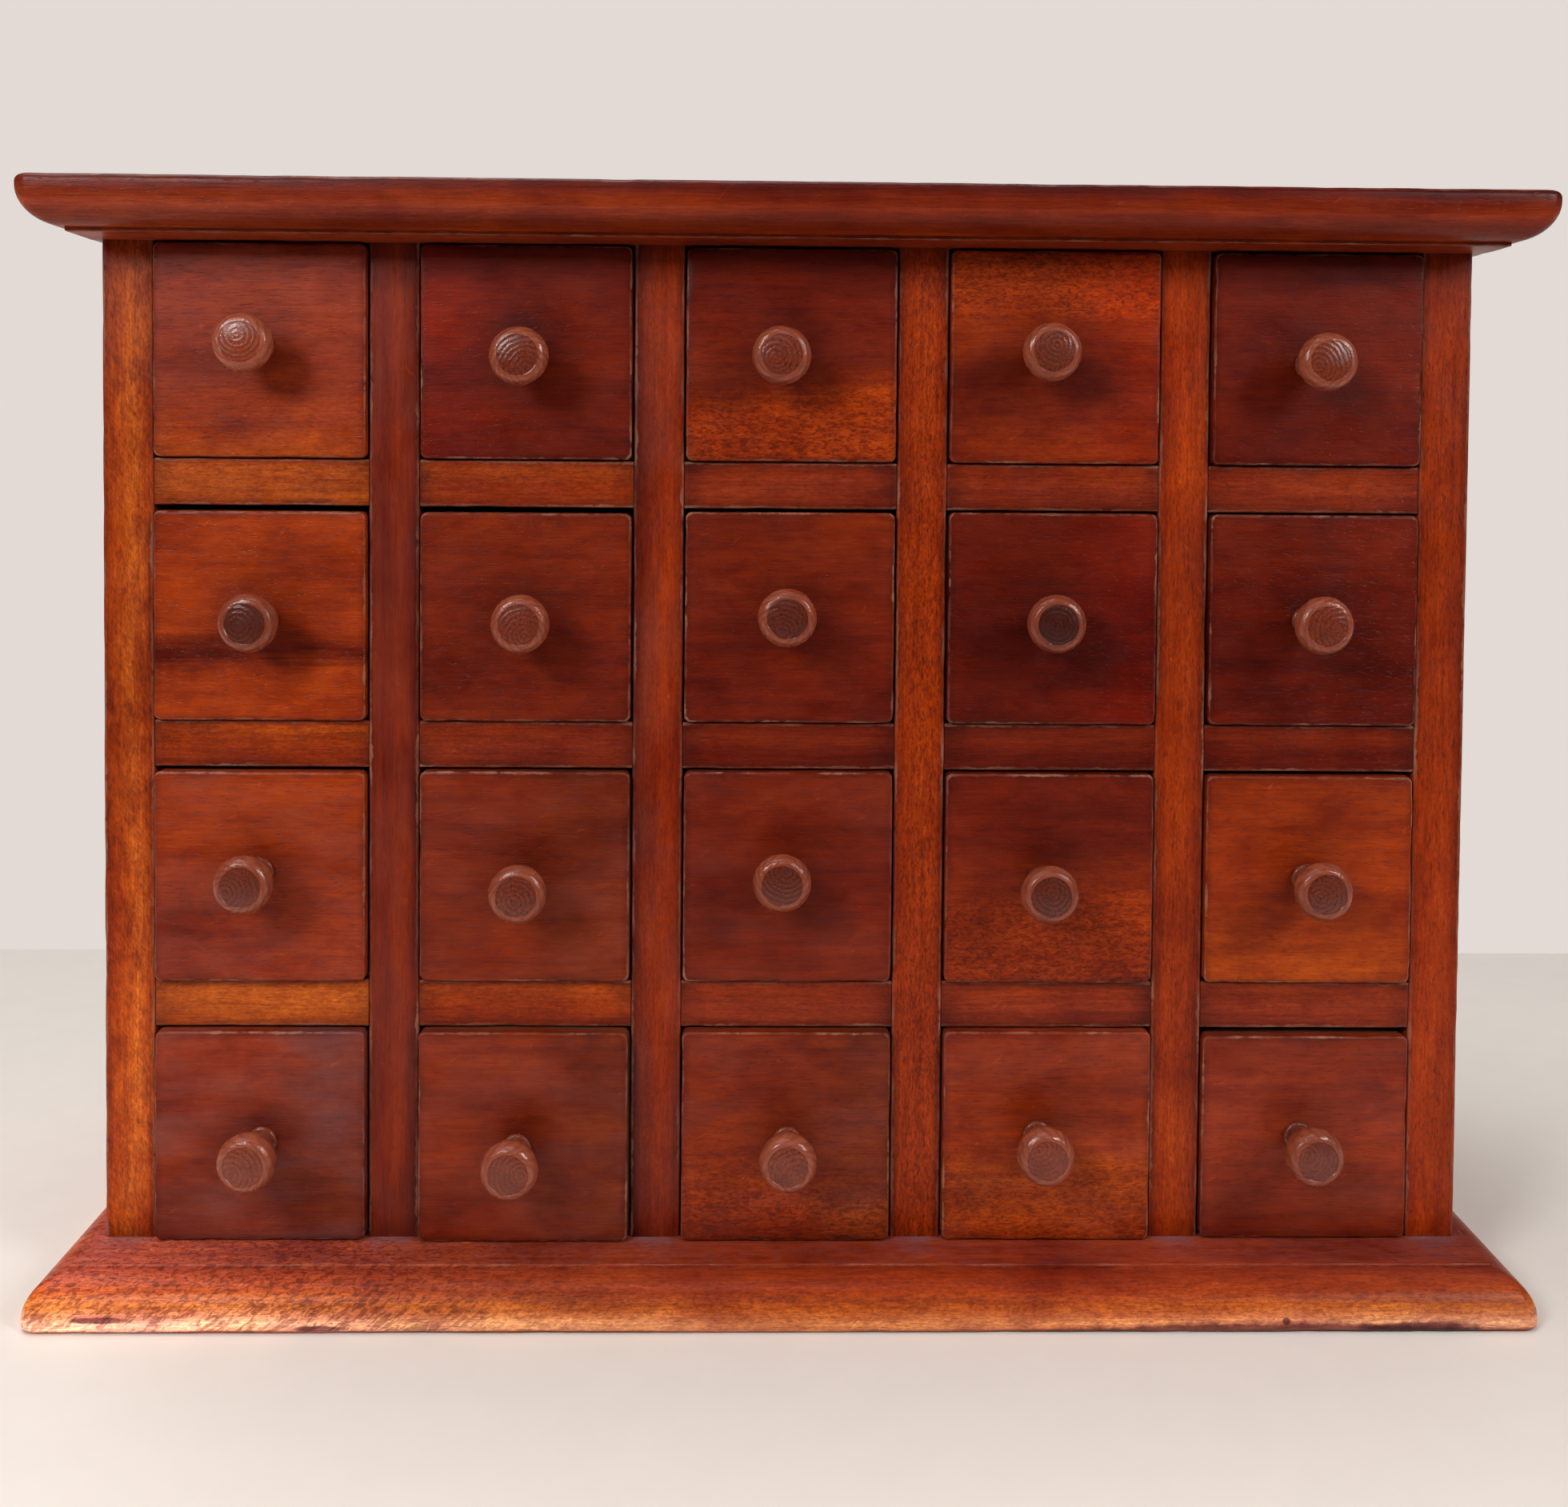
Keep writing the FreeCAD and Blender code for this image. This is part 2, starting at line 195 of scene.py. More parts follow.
def roundedOutline(corners, radius, step):
    # closed outline of a polygon, counter-clockwise, with an arc of the radius at every corner.
    # Gives the points, their outward normals and their distance along the outline from a corner
    corners = np.array(corners, float)
    travel = np.roll(corners, -1, axis=0) - corners
    travel /= np.linalg.norm(travel, axis=1, keepdims=True)
    points, normals, gaps = [], [], []
    turn = np.linspace(0, np.pi / 2, 5)[:, None]
    for i in range(len(corners)):
        came, goes = travel[i - 1], travel[i]
        convex = came[0] * goes[1] - came[1] * goes[0] > 0
        middle = corners[i] + (goes - came) * radius
        out = came * np.sin(turn) - goes * np.cos(turn)
        points.append(middle + radius * out)
        normals.append(out if convex else -out)
        gaps.append(np.zeros(len(turn)))
        length = np.linalg.norm(corners[(i + 1) % len(corners)] - corners[i])
        run = ruled(radius, length - radius, [0, 0.8, 2.2, 5], step)[1:-1]
        points.append(corners[i] + run[:, None] * goes)
        normals.append(np.broadcast_to([goes[1], -goes[0]], (len(run), 2)))
        gaps.append(np.minimum(run, length - run) - radius)
    points.append(points[0][:1])
    normals.append(normals[0][:1])
    gaps.append(gaps[0][:1])
    return np.concatenate(points), np.concatenate(normals), np.concatenate(gaps)


def carriedBoard(outline, axis, start, end, step, arris):
    # an outline carried straight along an axis; at both ends it is drawn in by the arris
    points, normals, gaps = outline
    runs = ruled(start, end, [0, arris, 1.5, 4], step)
    others = [other for other in range(3) if other != axis]
    drawnIn = np.where((runs == start) | (runs == end), arris, 0.0)[:, None, None]
    section = points[None] - drawnIn * normals[None]
    place = np.empty((len(runs), len(points), 3))
    place[..., axis] = runs[:, None]
    place[..., others] = section
    out = np.zeros_like(place)
    out[..., others] = normals[None]
    endMm = np.minimum(runs - start, end - runs)[:, None]
    return place, out, dict(edgeMm=gaps[None], endMm=endMm)


# the stained wood's tones from the palest to the darkest, as they show in soft daylight
tones = {
    "tan": "#E58C52",
    "gold": "#C66634",
    "amber": "#AE4C14",
    "orange": "#9E3C08",
    "ember": "#943006",
    "scarlet": "#8E2A02",
    "brick": "#8A2E14",
    "russet": "#7E2608",
    "chestnut": "#722008",
    "garnet": "#681906",
    "maroon": "#5C1203",
    "wine": "#4E0A01",
}


def linear(hexColour):
    # an sRGB hex colour as the linear values that Blender's sockets take
    channels = [int(hexColour[i : i + 2], 16) / 255 for i in (1, 3, 5)]
    return tuple(c / 12.92 if c <= 0.04045 else ((c + 0.055) / 1.055) ** 2.4 for c in channels) + (1.0,)


def addNode(tree, kind, inputs=None, output=0, **settings):
    # adds a node and gives one of its outputs; an input takes a value or the socket that feeds it
    node = tree.nodes.new("ShaderNode" + kind)
    for key, value in settings.items():
        setattr(node, key, value)
    for key, value in (inputs or {}).items():
        if isinstance(value, bpy.types.NodeSocket):
            tree.links.new(value, node.inputs[key])
        else:
            node.inputs[key].default_value = value
    return node.outputs[output] if node.outputs else None


def newMaterial(name):
    material = bpy.data.materials.new(name)
    material.use_nodes = True
    material.node_tree.nodes.clear()
    return material, material.node_tree


def finishMaterial(tree, inputs, heights):
    # heights are pairs of a height socket and how many millimetres it stands for
    normal = None
    for height, depth in heights:
        bump = {"Height": height, "Distance": depth * mm, "Strength": 1.0}
        if normal is not None:
            bump["Normal"] = normal
        normal = addNode(tree, "Bump", bump)
    shader = addNode(tree, "BsdfPrincipled", {**inputs, "Normal": normal})
    addNode(tree, "OutputMaterial", {"Surface": shader})


# angles that turn each of the frame's axes onto the pattern's x
turns = {
    "X": (0, 0, 0),
    "Y": (0, 0, -math.pi / 2),
    "Z": (0, math.pi / 2, 0),
}


def grainPlace(tree, grain, shift):
    # object coordinates in millimetres, turned so that x runs along the grain
    place = addNode(tree, "TexCoord", output="Object")
    turned = {0: place, "Location": shift, "Rotation": turns[grain], "Scale": (1 / mm,) * 3}
    return addNode(tree, "Mapping", turned)


def grainNoise(tree, place, size, detail=2.0, distortion=0.0):
    # noise whose features measure size millimetres along, across and through the grain
    perMm = [1 / length for length in size]
    scaled = addNode(tree, "VectorMath", {0: place, 1: perMm}, operation="MULTIPLY")
    given = {"Vector": scaled, "Scale": 1.0, "Roughness": 0.55}
    return addNode(tree, "TexNoise", {**given, "Detail": detail, "Distortion": distortion})


def layer(tree, colour, mask, start, end, amount, tint, blend="MULTIPLY"):
    # lays a tint over a colour as the mask goes from start to end, by at most the amount
    share = addNode(tree, "MapRange", {0: mask, 1: start, 2: end, 4: amount})
    inputs = {0: share, 6: colour, 7: tint}
    return addNode(tree, "Mix", inputs, 2, data_type="RGBA", blend_type=blend)


# Mahogany under worn satin shellac: planed hardwood, stained red brown. Streaks and lines are its
# figure, blotches the uneven stain, curl the ripple of crossed grain, flecks the mottle of its orange
# parts and pores the short dark dashes that cut mahogany shows; the painted sheen is a dull mauve veil
# in patches, a painted reflection. Every board gives a shift as well, so that no two are cut from the
# same place in the wood, and bands of tone over its span along the axis: each is a place from 0 to 1,
# a tone and how flecked the wood is. A fade is an amount, where along the grain it starts and is full,
# and a tint. A stain is the x and z of an ellipse's middle and half its length and height. Lengths are in
# millimetres.
mahoganyDefaults = {
    "grain": "X",
    "axis": "Z",
    "wander": 0.08,
    "streak": 0.5,
    "line": 0.25,
    "fibre": 0.45,
    "blotch": 0.75,
    "mottle": 0.35,
    "scratch": 0.5,
    "curl": 0.0,
    "curlSpan": None,
    "fades": [],
    "stains": [],
    "pores": 0.4,
    "paintedSheen": 0.0,
    "wear": 0.6,
    "dirt": 0.5,
    "endDarkening": 0.0,
    "handled": 0.65,
    "roughness": 0.34,
}

# size in millimetres along, across and through the grain, detail and distortion of each noise. Real
# pores are 0.2 mm wide: these are as coarse as shows from half a metre away
mahoganyNoises = {
    "wander": ((70, 28, 28), 3.0, 0.0),
    "streak": ((95, 5, 5), 3.0, 0.6),
    "line": ((40, 0.9, 0.9), 3.0, 0.3),
    "fibre": ((10, 0.5, 0.5), 2.0, 0.3),
    "blotch": ((36, 20, 20), 3.0, 0.4),
    "mottle": ((9, 4, 4), 3.0, 0.6),
    "curl": ((5.5, 1.4, 1.4), 2.0, 1.0),
    "fleck": ((2.0, 0.85, 0.85), 2.0, 0.8),
    "pore": ((3.0, 0.45, 0.45), 1.0, 0.0),
    "paintedSheen": ((30, 12, 12), 4.0, 0.0),
    "patch": ((16, 16, 16), 3.0, 0.0),
    "chip": ((4, 4, 4), 4.0, 0.0),
    "skin": ((1.8, 1.8, 1.8), 2.0, 0.0),
}

# what the layers do to a tone, in linear red, green and blue
mahoganyTints = {
    "dark": (0.6, 0.5, 0.55, 1),
    "pale": (1.22, 1.36, 1.25, 1),
    "deep": (0.66, 0.5, 0.6, 1),
    "warm": (1.22, 1.34, 1.1, 1),
    "fleckDark": (0.5, 0.4, 0.4, 1),
    "fleckPale": (1.3, 1.48, 1.3, 1),
    "pore": (0.4, 0.3, 0.32, 1),
    "scratch": (1.7, 2.2, 2.2, 1),
    "stain": (0.3, 0.2, 0.28, 1),
    "dirt": (0.3, 0.24, 0.26, 1),
    "endGrain": (0.6, 0.55, 0.6, 1),
    "faded": (1.75, 2.7, 4.5, 1),
    "dull": (0.82, 1.12, 1.9, 1),
    # painted shade, for the darker side of some fronts
    "shade": (0.77, 0.98, 1.35, 1),
    "flush": (1.3, 0.97, 0.75, 1),
    "honey": (1.5, 1.6, 0.9, 1),
    "glow": (1.5, 1.6, 2.2, 1),
}

# colours that cover the stain: a painted sheen, and where it is rubbed away, was never laid on or is
# dusty
mahoganyCovers = {
    "paintedSheen": "#8A5248",
    "rubbed": "#A06A54",
    "bare": "#6E4A34",
    "dust": "#75606A",
}


def bandedTone(tree, look, own, noise):
    # the tone across a board and its share of flecks: a ramp whose bands wander with the grain
    across = addNode(tree, "SeparateXYZ", {0: own}, look["axis"])
    start, end = look["span"]
    share = addNode(tree, "MapRange", {0: across, 1: start * mm, 2: end * mm})
    for key, width in (("wander", look["wander"]), ("line", look["wander"] * 0.25)):
        sway = addNode(tree, "MapRange", {0: noise[key], 3: -2 * width, 4: 2 * width})
        share = addNode(tree, "Math", {0: share, 1: sway}, operation="ADD")
    bands = addNode(tree, "ValToRGB", {0: share}).node
    stops = bands.color_ramp.elements
    while len(stops) < len(look["bands"]):
        stops.new(0.5)
    for stop, (position, tone, fleck) in zip(stops, look["bands"]):
        stop.position = position
        stop.color = linear(tones[tone])[:3] + (fleck,)
    return bands.outputs


def grainFigure(tree, look, along, noise, colour, fleckShare):
    # each layer has a noise, where in it the layer starts and is full, its amount and its tint
    tints = mahoganyTints
    curl = look["curl"]
    if look["curlSpan"]:
        # the ripple dies away from one end of this span along the board to the other
        start, end = look["curlSpan"]
        curl = addNode(tree, "MapRange", {0: along, 1: start * mm, 2: end * mm, 3: curl, 4: 0.1})
    figure = [
        ("streak", 0.5, 0.68, look["streak"], "dark"),
        ("streak", 0.5, 0.34, look["streak"], "pale"),
        ("line", 0.5, 0.72, look["line"], "dark"),
        ("fibre", 0.5, 0.68, look["fibre"], "dark"),
        ("fibre", 0.5, 0.34, look["fibre"], "pale"),
        ("blotch", 0.5, 0.7, look["blotch"], "deep"),
        ("blotch", 0.5, 0.32, look["blotch"], "warm"),
        ("mottle", 0.5, 0.68, look["mottle"], "deep"),
        ("mottle", 0.5, 0.34, look["mottle"], "warm"),
        ("curl", 0.49, 0.57, curl, "fleckDark"),
        ("curl", 0.3, 0.27, look["scratch"], "scratch"),
        ("fleck", 0.48, 0.62, fleckShare, "fleckDark"),
        ("fleck", 0.46, 0.36, fleckShare, "fleckPale"),
        ("pore", 0.6, 0.68, look["pores"], "pore"),
    ]
    for key, low, high, amount, tint in figure:
        colour = layer(tree, colour, noise[key], low, high, amount, tints[tint])
    # painted sheen: dull mauve patches that stand for the shellac's reflection
    paintedSheen = linear(mahoganyCovers["paintedSheen"])
    colour = layer(tree, colour, noise["paintedSheen"], 0.42, 0.68, look["paintedSheen"], paintedSheen, "MIX")
    for amount, start, end, tint in look["fades"]:
        # daylight and polish have changed the tone along the board; a fade with the shade tint is painted
        # shade over one side of a front
        colour = layer(tree, colour, along, start * mm, end * mm, amount, tints[tint])
    return colour


def agedStain(tree, look, own, noise, marks, colour):
    # what the wood gets over its figure: darker near arrises, creases and ends, dirt and painted shade
    # round a knob, then wear and stains, then bare wood and dust over them
    edge, ends, crease, bare, grainEnd, dust, handled = marks.values()
    tints = mahoganyTints
    rubbed, bareWood, greyDust = [linear(mahoganyCovers[key]) for key in ("rubbed", "bare", "dust")]
    # darker within a few millimetres of an arris, a crease and a board's end
    patches = {0: noise["patch"], 1: 0.35, 2: 0.62}
    dirt = addNode(tree, "MapRange", {**patches, 3: look["dirt"] * 0.3, 4: look["dirt"]})
    endDarkening = addNode(tree, "MapRange", {**patches, 3: look["endDarkening"] * 0.4, 4: look["endDarkening"]})
    colour = layer(tree, colour, edge, 2.6, 0.4, dirt, tints["dirt"])
    colour = layer(tree, colour, crease, 1.6, 0.1, dirt, tints["dirt"])
    colour = layer(tree, colour, ends, 8.0, 0.3, endDarkening, tints["dirt"])
    # and round a knob: dirt where fingers reach, together with painted shade from the knob
    colour = layer(tree, colour, handled, 0.0, 1.0, look["handled"], tints["dirt"])
    # the arris is rubbed through to paler wood here and there
    wearHere = {0: noise["patch"], 1: 0.46, 2: 0.6, 3: look["wear"] * 0.2, 4: look["wear"]}
    wear = addNode(tree, "MapRange", wearHere)
    ragged = addNode(tree, "MapRange", {0: noise["chip"], 3: -1.2, 4: 1.2})
    arris = addNode(tree, "Math", {0: edge, 1: ragged}, operation="ADD")
    colour = layer(tree, colour, arris, 0.5, 0.1, wear, rubbed, "MIX")
    for x, z, halfLength, halfHeight in look["stains"]:
        # dark mineral streaks and a pin knot: ragged ellipses on the front
        reach = {"Location": (-x / halfLength, 0, -z / halfHeight)}
        reach["Scale"] = (1 / (halfLength * mm), 0, 1 / (halfHeight * mm))
        spot = addNode(tree, "Mapping", {0: own, **reach})
        away = addNode(tree, "VectorMath", {0: spot}, "Value", operation="LENGTH")
        away = addNode(tree, "Math", {0: away, 1: noise["chip"]}, operation="ADD")
        colour = layer(tree, colour, away, 1.7, 1.3, 1.0, tints["stain"])
    colour = layer(tree, colour, grainEnd, 0.0, 1.0, 1.0, tints["endGrain"])
    colour = layer(tree, colour, bare, 0.0, 1.0, 1.0, bareWood, "MIX")
    # grey dust where cloths don't reach
    dusty = addNode(tree, "Math", {0: dust, 1: noise["chip"]}, operation="MULTIPLY")
    return layer(tree, colour, dusty, 0.1, 0.6, 0.8, greyDust, "MIX")


def mahogany(name, given):
    look = {**mahoganyDefaults, **given}
    material, tree = newMaterial(name)
    place = grainPlace(tree, look["grain"], look["shift"])
    # the ripple's dashes lie aslant to the grain
    slanted = addNode(tree, "Mapping", {0: place, "Rotation": (0, 0.6, 0)})
    noise = {}
    for key, values in mahoganyNoises.items():
        noise[key] = grainNoise(tree, slanted if key == "curl" else place, *values)
    own = addNode(tree, "TexCoord", output="Object")
    along = addNode(tree, "SeparateXYZ", {0: own}, look["grain"])
    marks = {key: addNode(tree, "Attribute", output="Fac", attribute_name=key) for key in markDefaults}
    colour, fleckShare = bandedTone(tree, look, own, noise)
    colour = grainFigure(tree, look, along, noise, colour, fleckShare)
    colour = agedStain(tree, look, own, noise, marks, colour)

    # satin where the shellac is whole, duller in patches and on bare wood; the pores are sunk
    satin = look["roughness"]
    patchy = {0: noise["patch"], 1: 0.3, 2: 0.7, 3: satin - 0.06, 4: satin + 0.1}
    roughness = addNode(tree, "MapRange", patchy)
    duller = {0: marks["raw"], 1: 0.4, 2: roughness}
    roughness = addNode(tree, "Math", duller, operation="MULTIPLY_ADD")
    dips = addNode(tree, "MapRange", {0: noise["pore"], 1: 0.6, 2: 0.68, 3: 1.0, 4: 0.0})
    heights = [(dips, 0.05), (noise["line"], 0.05), (noise["skin"], 0.03)]
    finish = {"Base Color": colour, "Roughness": roughness, "IOR": 1.5, "Specular IOR Level": 0.16}
    finishMaterial(tree, finish, heights)
    return material


# Turned knobs of close hardwood, thinly stained and handled: the face is end grain, which drinks the
# stain and shows as dark specks and short arcs, and the rolled rim is rubbed pale and a little pink.
knobWood = {
    "rim": "#A4553A",
    "face": "#8A3A20",
    "faceDark": "#46180E",
    "speckMm": 0.55,
    "warpMm": 4.5,
    "ringMm": 1.5,
    "alongGrain": 0.12,  # along the knob's axis the pattern changes only this much as fast
    "roughness": 0.24,
}


def turnedKnobWood():
    look = knobWood
    material, tree = newMaterial("turnedKnobWood")
    own = addNode(tree, "Attribute", output="Vector", attribute_name="own")
    pace = (1, look["alongGrain"], 1)
    drawn = addNode(tree, "VectorMath", {0: own, 1: pace}, operation="MULTIPLY")
    speck = addNode(tree, "TexNoise", {"Vector": drawn, "Scale": 1 / look["speckMm"]})
    warp = addNode(tree, "TexNoise", {"Vector": drawn, "Scale": 1 / look["warpMm"]})
    # a wave of scale 1 has a ring about every 0.31 of a unit
    wave = {"Vector": drawn, "Scale": 0.31 / look["ringMm"], "Distortion": 2.5}
    rings = addNode(tree, "TexWave", wave, "Fac", wave_type="RINGS", rings_direction="Y")
    face, neck, tone = [
        addNode(tree, "Attribute", output="Fac", attribute_name=key) for key in ("face", "neck", "tone")
    ]
    colour = linear(look["rim"])
    colour = layer(tree, colour, face, 0.0, 0.5, 1.0, linear(look["face"]), "MIX")
    colour = layer(tree, colour, face, 0.5, 1.0, 0.9, linear(look["faceDark"]), "MIX")
    colour = layer(tree, colour, rings, 0.35, 0.9, 0.5, (0.6, 0.5, 0.46, 1))
    speckShare = addNode(tree, "MapRange", {0: face, 1: 0.3, 2: 0.6, 3: 0.15, 4: 0.9})
    colour = layer(tree, colour, speck, 0.52, 0.64, speckShare, (0.45, 0.36, 0.34, 1))
    colour = layer(tree, colour, speck, 0.44, 0.32, speckShare, (1.2, 1.27, 1.2, 1))
    colour = layer(tree, colour, warp, 0.45, 0.7, 0.6, (0.68, 0.55, 0.52, 1))
    colour = layer(tree, colour, tone, 0.0, 1.0, 1.0, (0.5, 0.36, 0.38, 1))
    colour = layer(tree, colour, neck, 0.3, 1.0, 1.0, (0.5, 0.38, 0.36, 1))
    polish = look["roughness"]
    uneven = {0: warp, 1: 0.3, 2: 0.7, 3: polish - 0.08, 4: polish + 0.12}
    roughness = addNode(tree, "MapRange", uneven)
    finish = {"Base Color": colour, "Roughness": roughness, "IOR": 1.5, "Specular IOR Level": 0.45}
    finishMaterial(tree, finish, [(speck, 0.08), (rings, 0.05)])
    return material


# Plain planed boards that were never stained: the drawers' boxes, the back panel, the dowels. Mostly
# even, with soft brown streaks, handling dirt on the arrises and fine lines. A piece whose mark
# grainAcross is 1 has its grain along X instead.
plainWoods = {
    "plainDrawerBoxWood": {"tone": "#B58258", "grain": "Y", "shift": (0, 0, 0)},
    "agedBackPanelWood": {"tone": "#8A6040", "grain": "Z", "shift": (9, 5, 2)},
    "plainDowelWood": {"tone": "#B89468", "grain": "Z", "shift": (3, 8, 1)},
}


def plainWood(name):
    look = plainWoods[name]
    material, tree = newMaterial(name)
    turned = grainPlace(tree, look["grain"], look["shift"])
    across = grainPlace(tree, "X", look["shift"])
    turnShare = addNode(tree, "Attribute", output="Fac", attribute_name="grainAcross")
    place = addNode(tree, "Mix", {0: turnShare, 4: turned, 5: across}, 1, data_type="VECTOR")
    streak = grainNoise(tree, place, (60, 2.2, 2.2), 4.0, 0.5)
    blotch = grainNoise(tree, place, (30, 18, 18))
    fine = grainNoise(tree, place, (9, 0.5, 0.5))
    edge = addNode(tree, "Attribute", output="Fac", attribute_name="edgeMm")
    colour = linear(look["tone"])
    colour = layer(tree, colour, streak, 0.5, 0.72, 0.5, linear("#84532E"), "MIX")
    colour = layer(tree, colour, blotch, 0.45, 0.7, 0.7, (0.8, 0.7, 0.62, 1))
    colour = layer(tree, colour, fine, 0.56, 0.7, 1.0, (0.76, 0.64, 0.56, 1))
    colour = layer(tree, colour, edge, 2.0, 0.0, 0.7, (0.7, 0.62, 0.56, 1))
    roughness = addNode(tree, "MapRange", {0: blotch, 1: 0.3, 2: 0.7, 3: 0.6, 4: 0.78})
    finish = {"Base Color": colour, "Roughness": roughness, "IOR": 1.5}
    finishMaterial(tree, finish, [(fine, 0.06), (streak, 0.05)])
    return material


# Plated steel of the wood screws and panel pins: dull, with fine turned lines and darker dirt.
screwSteel = {
    "plating": "#8C8880",
    "dirt": "#4A4038",
}


def dullSteel():
    material, tree = newMaterial("dullScrewSteel")
    plating, grime = linear(screwSteel["plating"]), linear(screwSteel["dirt"])
    place = grainPlace(tree, "Z", (0, 0, 0))
    turned = grainNoise(tree, place, (0.4, 3, 3))
    dirt = grainNoise(tree, place, (4, 4, 4), 4.0)
    colour = layer(tree, plating, dirt, 0.45, 0.7, 1.0, grime, "MIX")
    roughness = addNode(tree, "MapRange", {0: turned, 1: 0.3, 2: 0.7, 3: 0.32, 4: 0.5})
    finish = {"Base Color": colour, "Roughness": roughness, "Metallic": 1.0}
    finishMaterial(tree, finish, [(turned, 0.02), (dirt, 0.02)])
    return material


caseWood = {
    "boardArris": 0.6,  # uprights and shelves
    "edgeWear": 0.14,
    "hollow": 0.07,
    "step": 5.0,
    "uprightEnd": 0.1,
    "shelfEnd": 0.3,
    "shelfPlay": 0.05,
    "rebate": 8.0,
    "bareFrom": 16.0,  # the finish stops this far inside a cell
    "bareOver": 4.0,
    "skin": 1.0,  # points this near the outer face of a side count as finished
}

# tones of each upright from its left edge to its right edge
uprightLooks = {
    "side_left": {
        "bands": [(0, "ember", 0.3), (0.35, "orange", 0.4), (0.6, "amber", 0.5), (1, "ember", 0.4)],
        "fades": [(0.6, 190, 100, "glow")],
        "curl": 0.35,
        "wander": 0.2,
        "blotch": 1.0,
        "mottle": 0.7,
    },
    "divider_1": {
        "bands": [(0, "russet", 0.1), (0.3, "garnet", 0.1), (0.6, "russet", 0.1), (1, "maroon", 0.1)],
        "pores": 0.3,
        "paintedSheen": 0.12,
    },
    "divider_2": {
        "bands": [(0, "maroon", 0.3), (0.35, "russet", 0.4), (0.6, "scarlet", 0.3), (1, "scarlet", 0.3)],
        "fades": [(0.45, 160, 60, "dark")],
        "paintedSheen": 0.15,
    },
    "divider_3": {
        "bands": [(0, "scarlet", 0.4), (0.5, "ember", 0.7), (1, "scarlet", 0.6)],
        "pores": 0.7,
    },
    "divider_4": {
        "bands": [(0, "scarlet", 0.3), (0.5, "ember", 0.4), (1, "russet", 0.3)],
        "fades": [(0.9, 235, 290, "honey")],
        "pores": 0.6,
    },
    "side_right": {
        "bands": [(0, "scarlet", 0.3), (0.5, "ember", 0.4), (1, "russet", 0.3)],
        "fades": [(0.5, 170, 60, "honey")],
        "pores": 0.6,
    },
}

mouldedBoard = {
    "flatEdge": 0.4,
    "fillet": 1.2,
    "ovoloWidth": 11.4,
    "noseHeight": 3.4,
    "noseRound": 2.2,
    "cornerRound": 5.0,
    "step": 4.0,
    "edgeWear": 0.2,
    "hollow": 0.1,
    "filletWearLag": 0.05,  # the fillet is rubbed less than the nose
    "dustEven": 0.25,
    "dustWidth": 7.0,  # dust also lies in front of each upright, as wide and deep as this
    "dustDepth": 3.5,
}

# tones of each board from its underside to its top
boardLooks = {
    "top_board": {
        "bands": [
            (0.0, "brick", 0.2),
            (0.07, "ember", 0.2),
            (0.12, "russet", 0.2),
            (0.3, "chestnut", 0.2),
            (0.48, "brick", 0.0),
            (0.56, "russet", 0.1),
            (0.74, "chestnut", 0.1),
            (0.84, "maroon", 0.1),
            (1.0, "maroon", 0.1),
        ],
        "wander": 0.03,
        "line": 0.4,
        "fades": [(0.5, 0, -200, "faded")],
        "pores": 0.25,
        "wear": 0.5,
        "shift": (333.0, 11.0, 5.0),
    },
    "base_board": {
        "bands": [
            (0.0, "brick", 0.0),
            (0.05, "ember", 0.1),
            (0.1, "tan", 0.3),
            (0.22, "tan", 0.4),
            (0.34, "gold", 0.5),
            (0.5, "amber", 0.6),
            (0.72, "ember", 0.5),
            (0.93, "brick", 0.2),
            (1.0, "brick", 0.1),
        ],
        "wander": 0.05,
        "curl": 0.9,
        "curlSpan": (-125, -30),
        "fades": [
            (1.0, 0, -225, "faded"),
            (0.6, 90, 200, "dull"),
            (0.65, -110, -190, "glow"),
            (0.36, 20, 120, "glow"),
        ],
        "stains": [
            (150, 0, 70, 3.6),
            (196, 1.4, 19, 2.7),
            (153.6, 4, 1.2, 1.1),
            (-208, 4.6, 9, 1),
            (-142, 2, 8, 1),
        ],
        "pores": 0.5,
        "wear": 0.5,
        "dirt": 0.15,
        "shift": (370.0, 11.0, 90.0),
    },
}


def mouldingProfile(thickness):
    # section from the flat face over the fillet step, down the ovolo (a quarter ellipse), the upright
    # nose and its rounded foot, in to the underside: distance in from the nose, height, outward normal
    look = mouldedBoard
    turn = np.linspace(0, np.pi / 2, 5)
    sweep = np.linspace(np.pi / 2, 0, 15)
    foot = np.linspace(0, np.pi / 2, 6)
    width = look["ovoloWidth"]
    nose = look["noseHeight"]
    noseRound = look["noseRound"]
    flatEdge = look["flatEdge"]
    ovoloTop = thickness - look["fillet"]
    rise = ovoloTop - nose
    inward = [
        width + flatEdge * (1 - np.sin(turn)),
        [width],
        width * (1 - np.cos(sweep)),
        [0],
        noseRound * (1 - np.cos(foot)),
        [2 * noseRound, width + flatEdge],
    ]
    height = [
        thickness - flatEdge * (1 - np.cos(turn)),
        [ovoloTop + flatEdge],
        nose + rise * np.sin(sweep),
        [(nose + noseRound) / 2],
        noseRound * (1 - np.sin(foot)),
        [0, 0],
    ]
    leanOut, leanUp = np.cos(sweep) / width, np.sin(sweep) / rise
    size = np.hypot(leanOut, leanUp)
    outward = [np.sin(turn), [1], leanOut / size, [1], np.cos(foot), [0, 0]]
    upward = [np.cos(turn), [0], leanUp / size, [0], -np.sin(foot), [-1, -1]]
    return [np.concatenate(values).astype(float) for values in (inward, height, outward, upward)]


